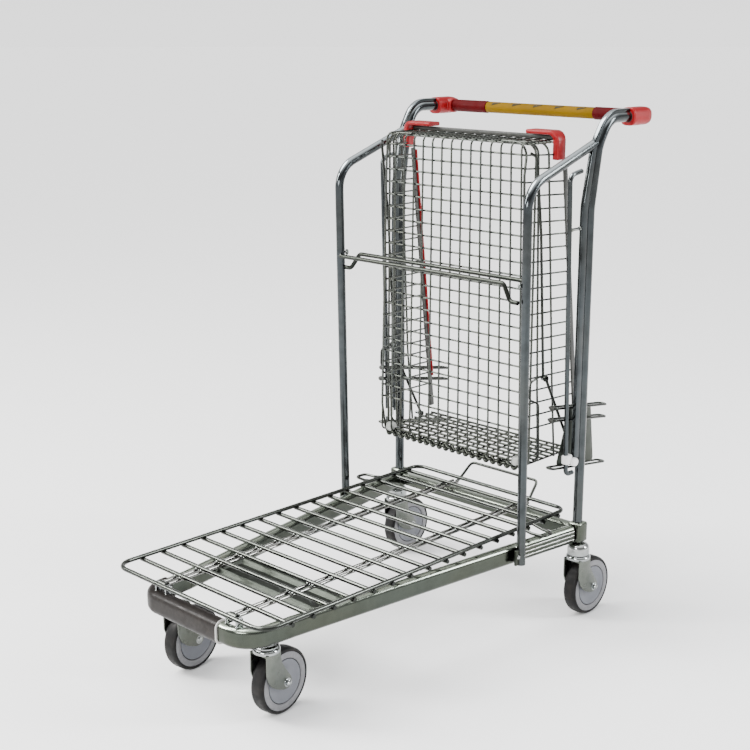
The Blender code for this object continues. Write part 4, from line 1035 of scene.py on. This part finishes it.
def build_fork(name, stem, ahead, across):
    """The turning crown, a yoke plate under it and two legs that reach back to the axle."""
    swivel = name + "_swivel"
    crown = [
        (0.0, CROWN_TOP - 0.0006), (0.018, CROWN_TOP - 0.0006), (0.0225, CROWN_TOP - 0.001),
        (0.0247, CROWN_TOP - 0.0026), (0.0256, CROWN_TOP - 0.0052), (0.0257, CROWN_LOW + 0.0012),
        (0.025, CROWN_LOW - 0.0012), (0.0236, CROWN_LOW - 0.0022), (0.0, CROWN_LOW - 0.0022)]
    lathe(name + "_crown", crown, stem, (0, 0, 1), swivel, CHROME, [name + "_fork"])
    leg = [(-0.0214, CROWN_LOW + 0.0002), (-0.0214, 0.092), (-0.015, 0.0738), (0.0021, 0.0599),
           (0.0235, 0.0514), (0.0375, 0.0514), (0.0444, 0.0599), (0.0423, 0.0717), (0.0278, 0.092),
           (0.0161, 0.1113), (0.0161, CROWN_LOW + 0.0002)]
    radii = (0.0, 0.018, 0.03, 0.04, 0.01, 0.01, 0.01, 0.02, 0.06, 0.03, 0.0)
    smooth = rounded_outline(leg, radii, 7)
    standing = Matrix((ahead, UP, across)).transposed().to_4x4()
    for tag, offset in (("outer", 0.0195), ("inner", -0.0195)):
        stand = Matrix.Translation(stem + across * offset) @ standing
        plate("%s_leg_%s" % (name, tag), smooth, 0.0026, stand, swivel, ZINC_FORK, 0.0007)
    yoke = [(-0.02, -0.019), (0.015, -0.019), (0.015, 0.019), (-0.02, 0.019)]
    lying = Matrix((ahead, across, UP)).transposed().to_4x4()
    plate(name + "_yoke", yoke, 0.003, Matrix.Translation(stem + UP * (CROWN_LOW - 0.003)) @ lying, swivel,
          ZINC_FORK, 0.0008)


def build_axle(name, axle, across):
    """The axle with a nut on the outside and a flat head on the inside."""
    nut = [
        (0.0, 0.0283), (0.0024, 0.028), (0.0042, 0.027), (0.005, 0.0252), (0.0054, 0.025), (0.006, 0.0246),
        (0.006, 0.0214), (0.0086, 0.0212), (0.0088, 0.0206), (0.0086, 0.0202), (0.0, 0.0202)]
    head = [
        (0.0, 0.024), (0.004, 0.0238), (0.0056, 0.0226), (0.006, 0.0212), (0.0086, 0.021), (0.0, 0.0204)]
    pin = both_faces([(0, 0.0205), (0.004, 0.0205)])
    for tag, profile, axis, steps, angle in (
            ("axle_nut", nut, across, 36, 25.0), ("axle_head", head, -across, 36, 35.0),
            ("axle", pin, across, 32, 35.0)):
        lathe(
            "%s_%s" % (name, tag), profile, axle, axis, name + "_swivel", CHROME, (), steps, angle)


def build_wheel(name, axle, across):
    """A tyre, the ring that holds it, and a dished disc, with a dark ring between them as painted shade in
    the groove.
    """
    half = TYRE_HALF
    tread = [
        (0.0552, half - 0.001), (0.0566, half - 0.0001), (0.0584, half - 0.0003), (0.0603, half - 0.0015),
        (0.0616, half - 0.0036), (0.0623, half - 0.0062), (WHEEL_R, half - 0.0092)]
    ring = [(0.043, half - 0.0022), (0.0436, half - 0.0009), (0.0448, half - 0.0004),
            (0.054, half - 0.0006), (0.055, half - 0.0012)]
    # A dark flat ring at the bottom of the groove: painted shade.
    groove = [(0.0405, half - 0.0024), (0.044, half - 0.0024)]
    disc = [(0.0062, 0.017), (0.0124, 0.017), (0.0134, 0.0162), (0.0138, 0.0128), (0.016, 0.0119),
            (0.033, 0.0124), (0.0395, half - 0.001), (0.0408, half - 0.0012), (0.0414, half - 0.0024)]
    for tag, profile, look, nodes, slot in (
            ("tread", tread, TYRE_BLACK, [name + "_tyre"], "tyre_black"),
            ("wheel_ring", ring, WHEEL_RING, [name + "_hub"], "hub_grey"),
            ("wheel_groove", groove, GAP_SHADE_PAINT, (), "hub_grey"),
            ("wheel_disc", disc, WHEEL_DISC, (), "hub_grey")):
        lathe("%s_%s" % (name, tag), both_faces(profile), axle, across, name + "_wheel", look, nodes,
              96)


# ---------------------------------------------------------------- studio
CAMERA_PLACE = (1.845868, -1.901979, 1.223138)
CAMERA_DIP = 0.253205
CAMERA_HEADING = 0.775045
CAMERA_LENS = 66.227


def area_light(name, place, target, size, power, colour=(1.0, 1.0, 1.0)):
    data = bpy.data.lights.new(name, "AREA")
    data.shape = "RECTANGLE"
    data.size, data.size_y = size
    data.energy = power
    data.color = colour
    light = new_object(name, data)
    light.location = place
    light.rotation_euler = (Vector(target) - Vector(place)).to_track_quat("-Z", "Y").to_euler()


def build_studio():
    camera = new_object("camera", bpy.data.cameras.new("camera"))
    camera.data.sensor_width = 36.0
    camera.data.lens = CAMERA_LENS
    camera.location = CAMERA_PLACE
    camera.rotation_euler = (math.pi / 2 - CAMERA_DIP, 0.0, CAMERA_HEADING)
    bpy.context.scene.camera = camera

    bm = bmesh.new()
    bmesh.ops.create_circle(bm, cap_ends=True, segments=96, radius=60.0)
    floor = new_mesh("studio_floor", bm)
    nodes = Nodes(bpy.data.materials.new("floor_pale"))
    nodes.bump(nodes.noise(30.0, 2.0), 0.01, 0.001)
    floor.data.materials.append(nodes.done((0.93, 0.93, 0.93), 0.65, specular=0.2))
    floor.location.z = -0.0004

    bpy.context.scene.world = bpy.data.worlds.new("studio")
    sky = Nodes(bpy.context.scene.world)
    height = sky.add("ShaderNodeSeparateXYZ", Vector=sky.coordinates["Generated"]).outputs["Z"]
    levels = ((0.0, 1.0), (0.03, 0.95), (0.16, 0.6), (0.4, 0.16), (0.65, 0.35), (1.0, 0.9))
    background = sky.tree.nodes["Background"]
    sky.put(background.inputs["Color"], sky.ramp(height, [(place, [level] * 3) for place, level in levels]))
    sky.put(background.inputs["Strength"], 1.9)

    sun = new_object("sun", bpy.data.lights.new("sun", "SUN"))
    sun.data.energy = 4.6
    sun.data.angle = math.radians(40.0)
    sun.rotation_euler = (math.radians(18.0), math.radians(-24.0), 0.0)
    area_light("key", (-2.6, -2.4, 2.4), (0, 0, 0.45), (0.9, 1.6), 190.0, (1.0, 0.99, 0.97))
    area_light("rim", (2.6, 2.0, 1.9), (0, 0, 0.5), (0.6, 1.6), 110.0, (0.96, 0.98, 1.0))
    area_light("front", (0.9, -3.4, 1.7), (0, 0, 0.4), (1.4, 0.7), 90.0)


build_studio()
build_base()
build_deck()
build_uprights()
build_crossbar()
build_handle()
build_basket()
build_carriage()
for end_name in ("front", "rear"):
    for side_name, _ in SIDES:
        build_caster(end_name, side_name)
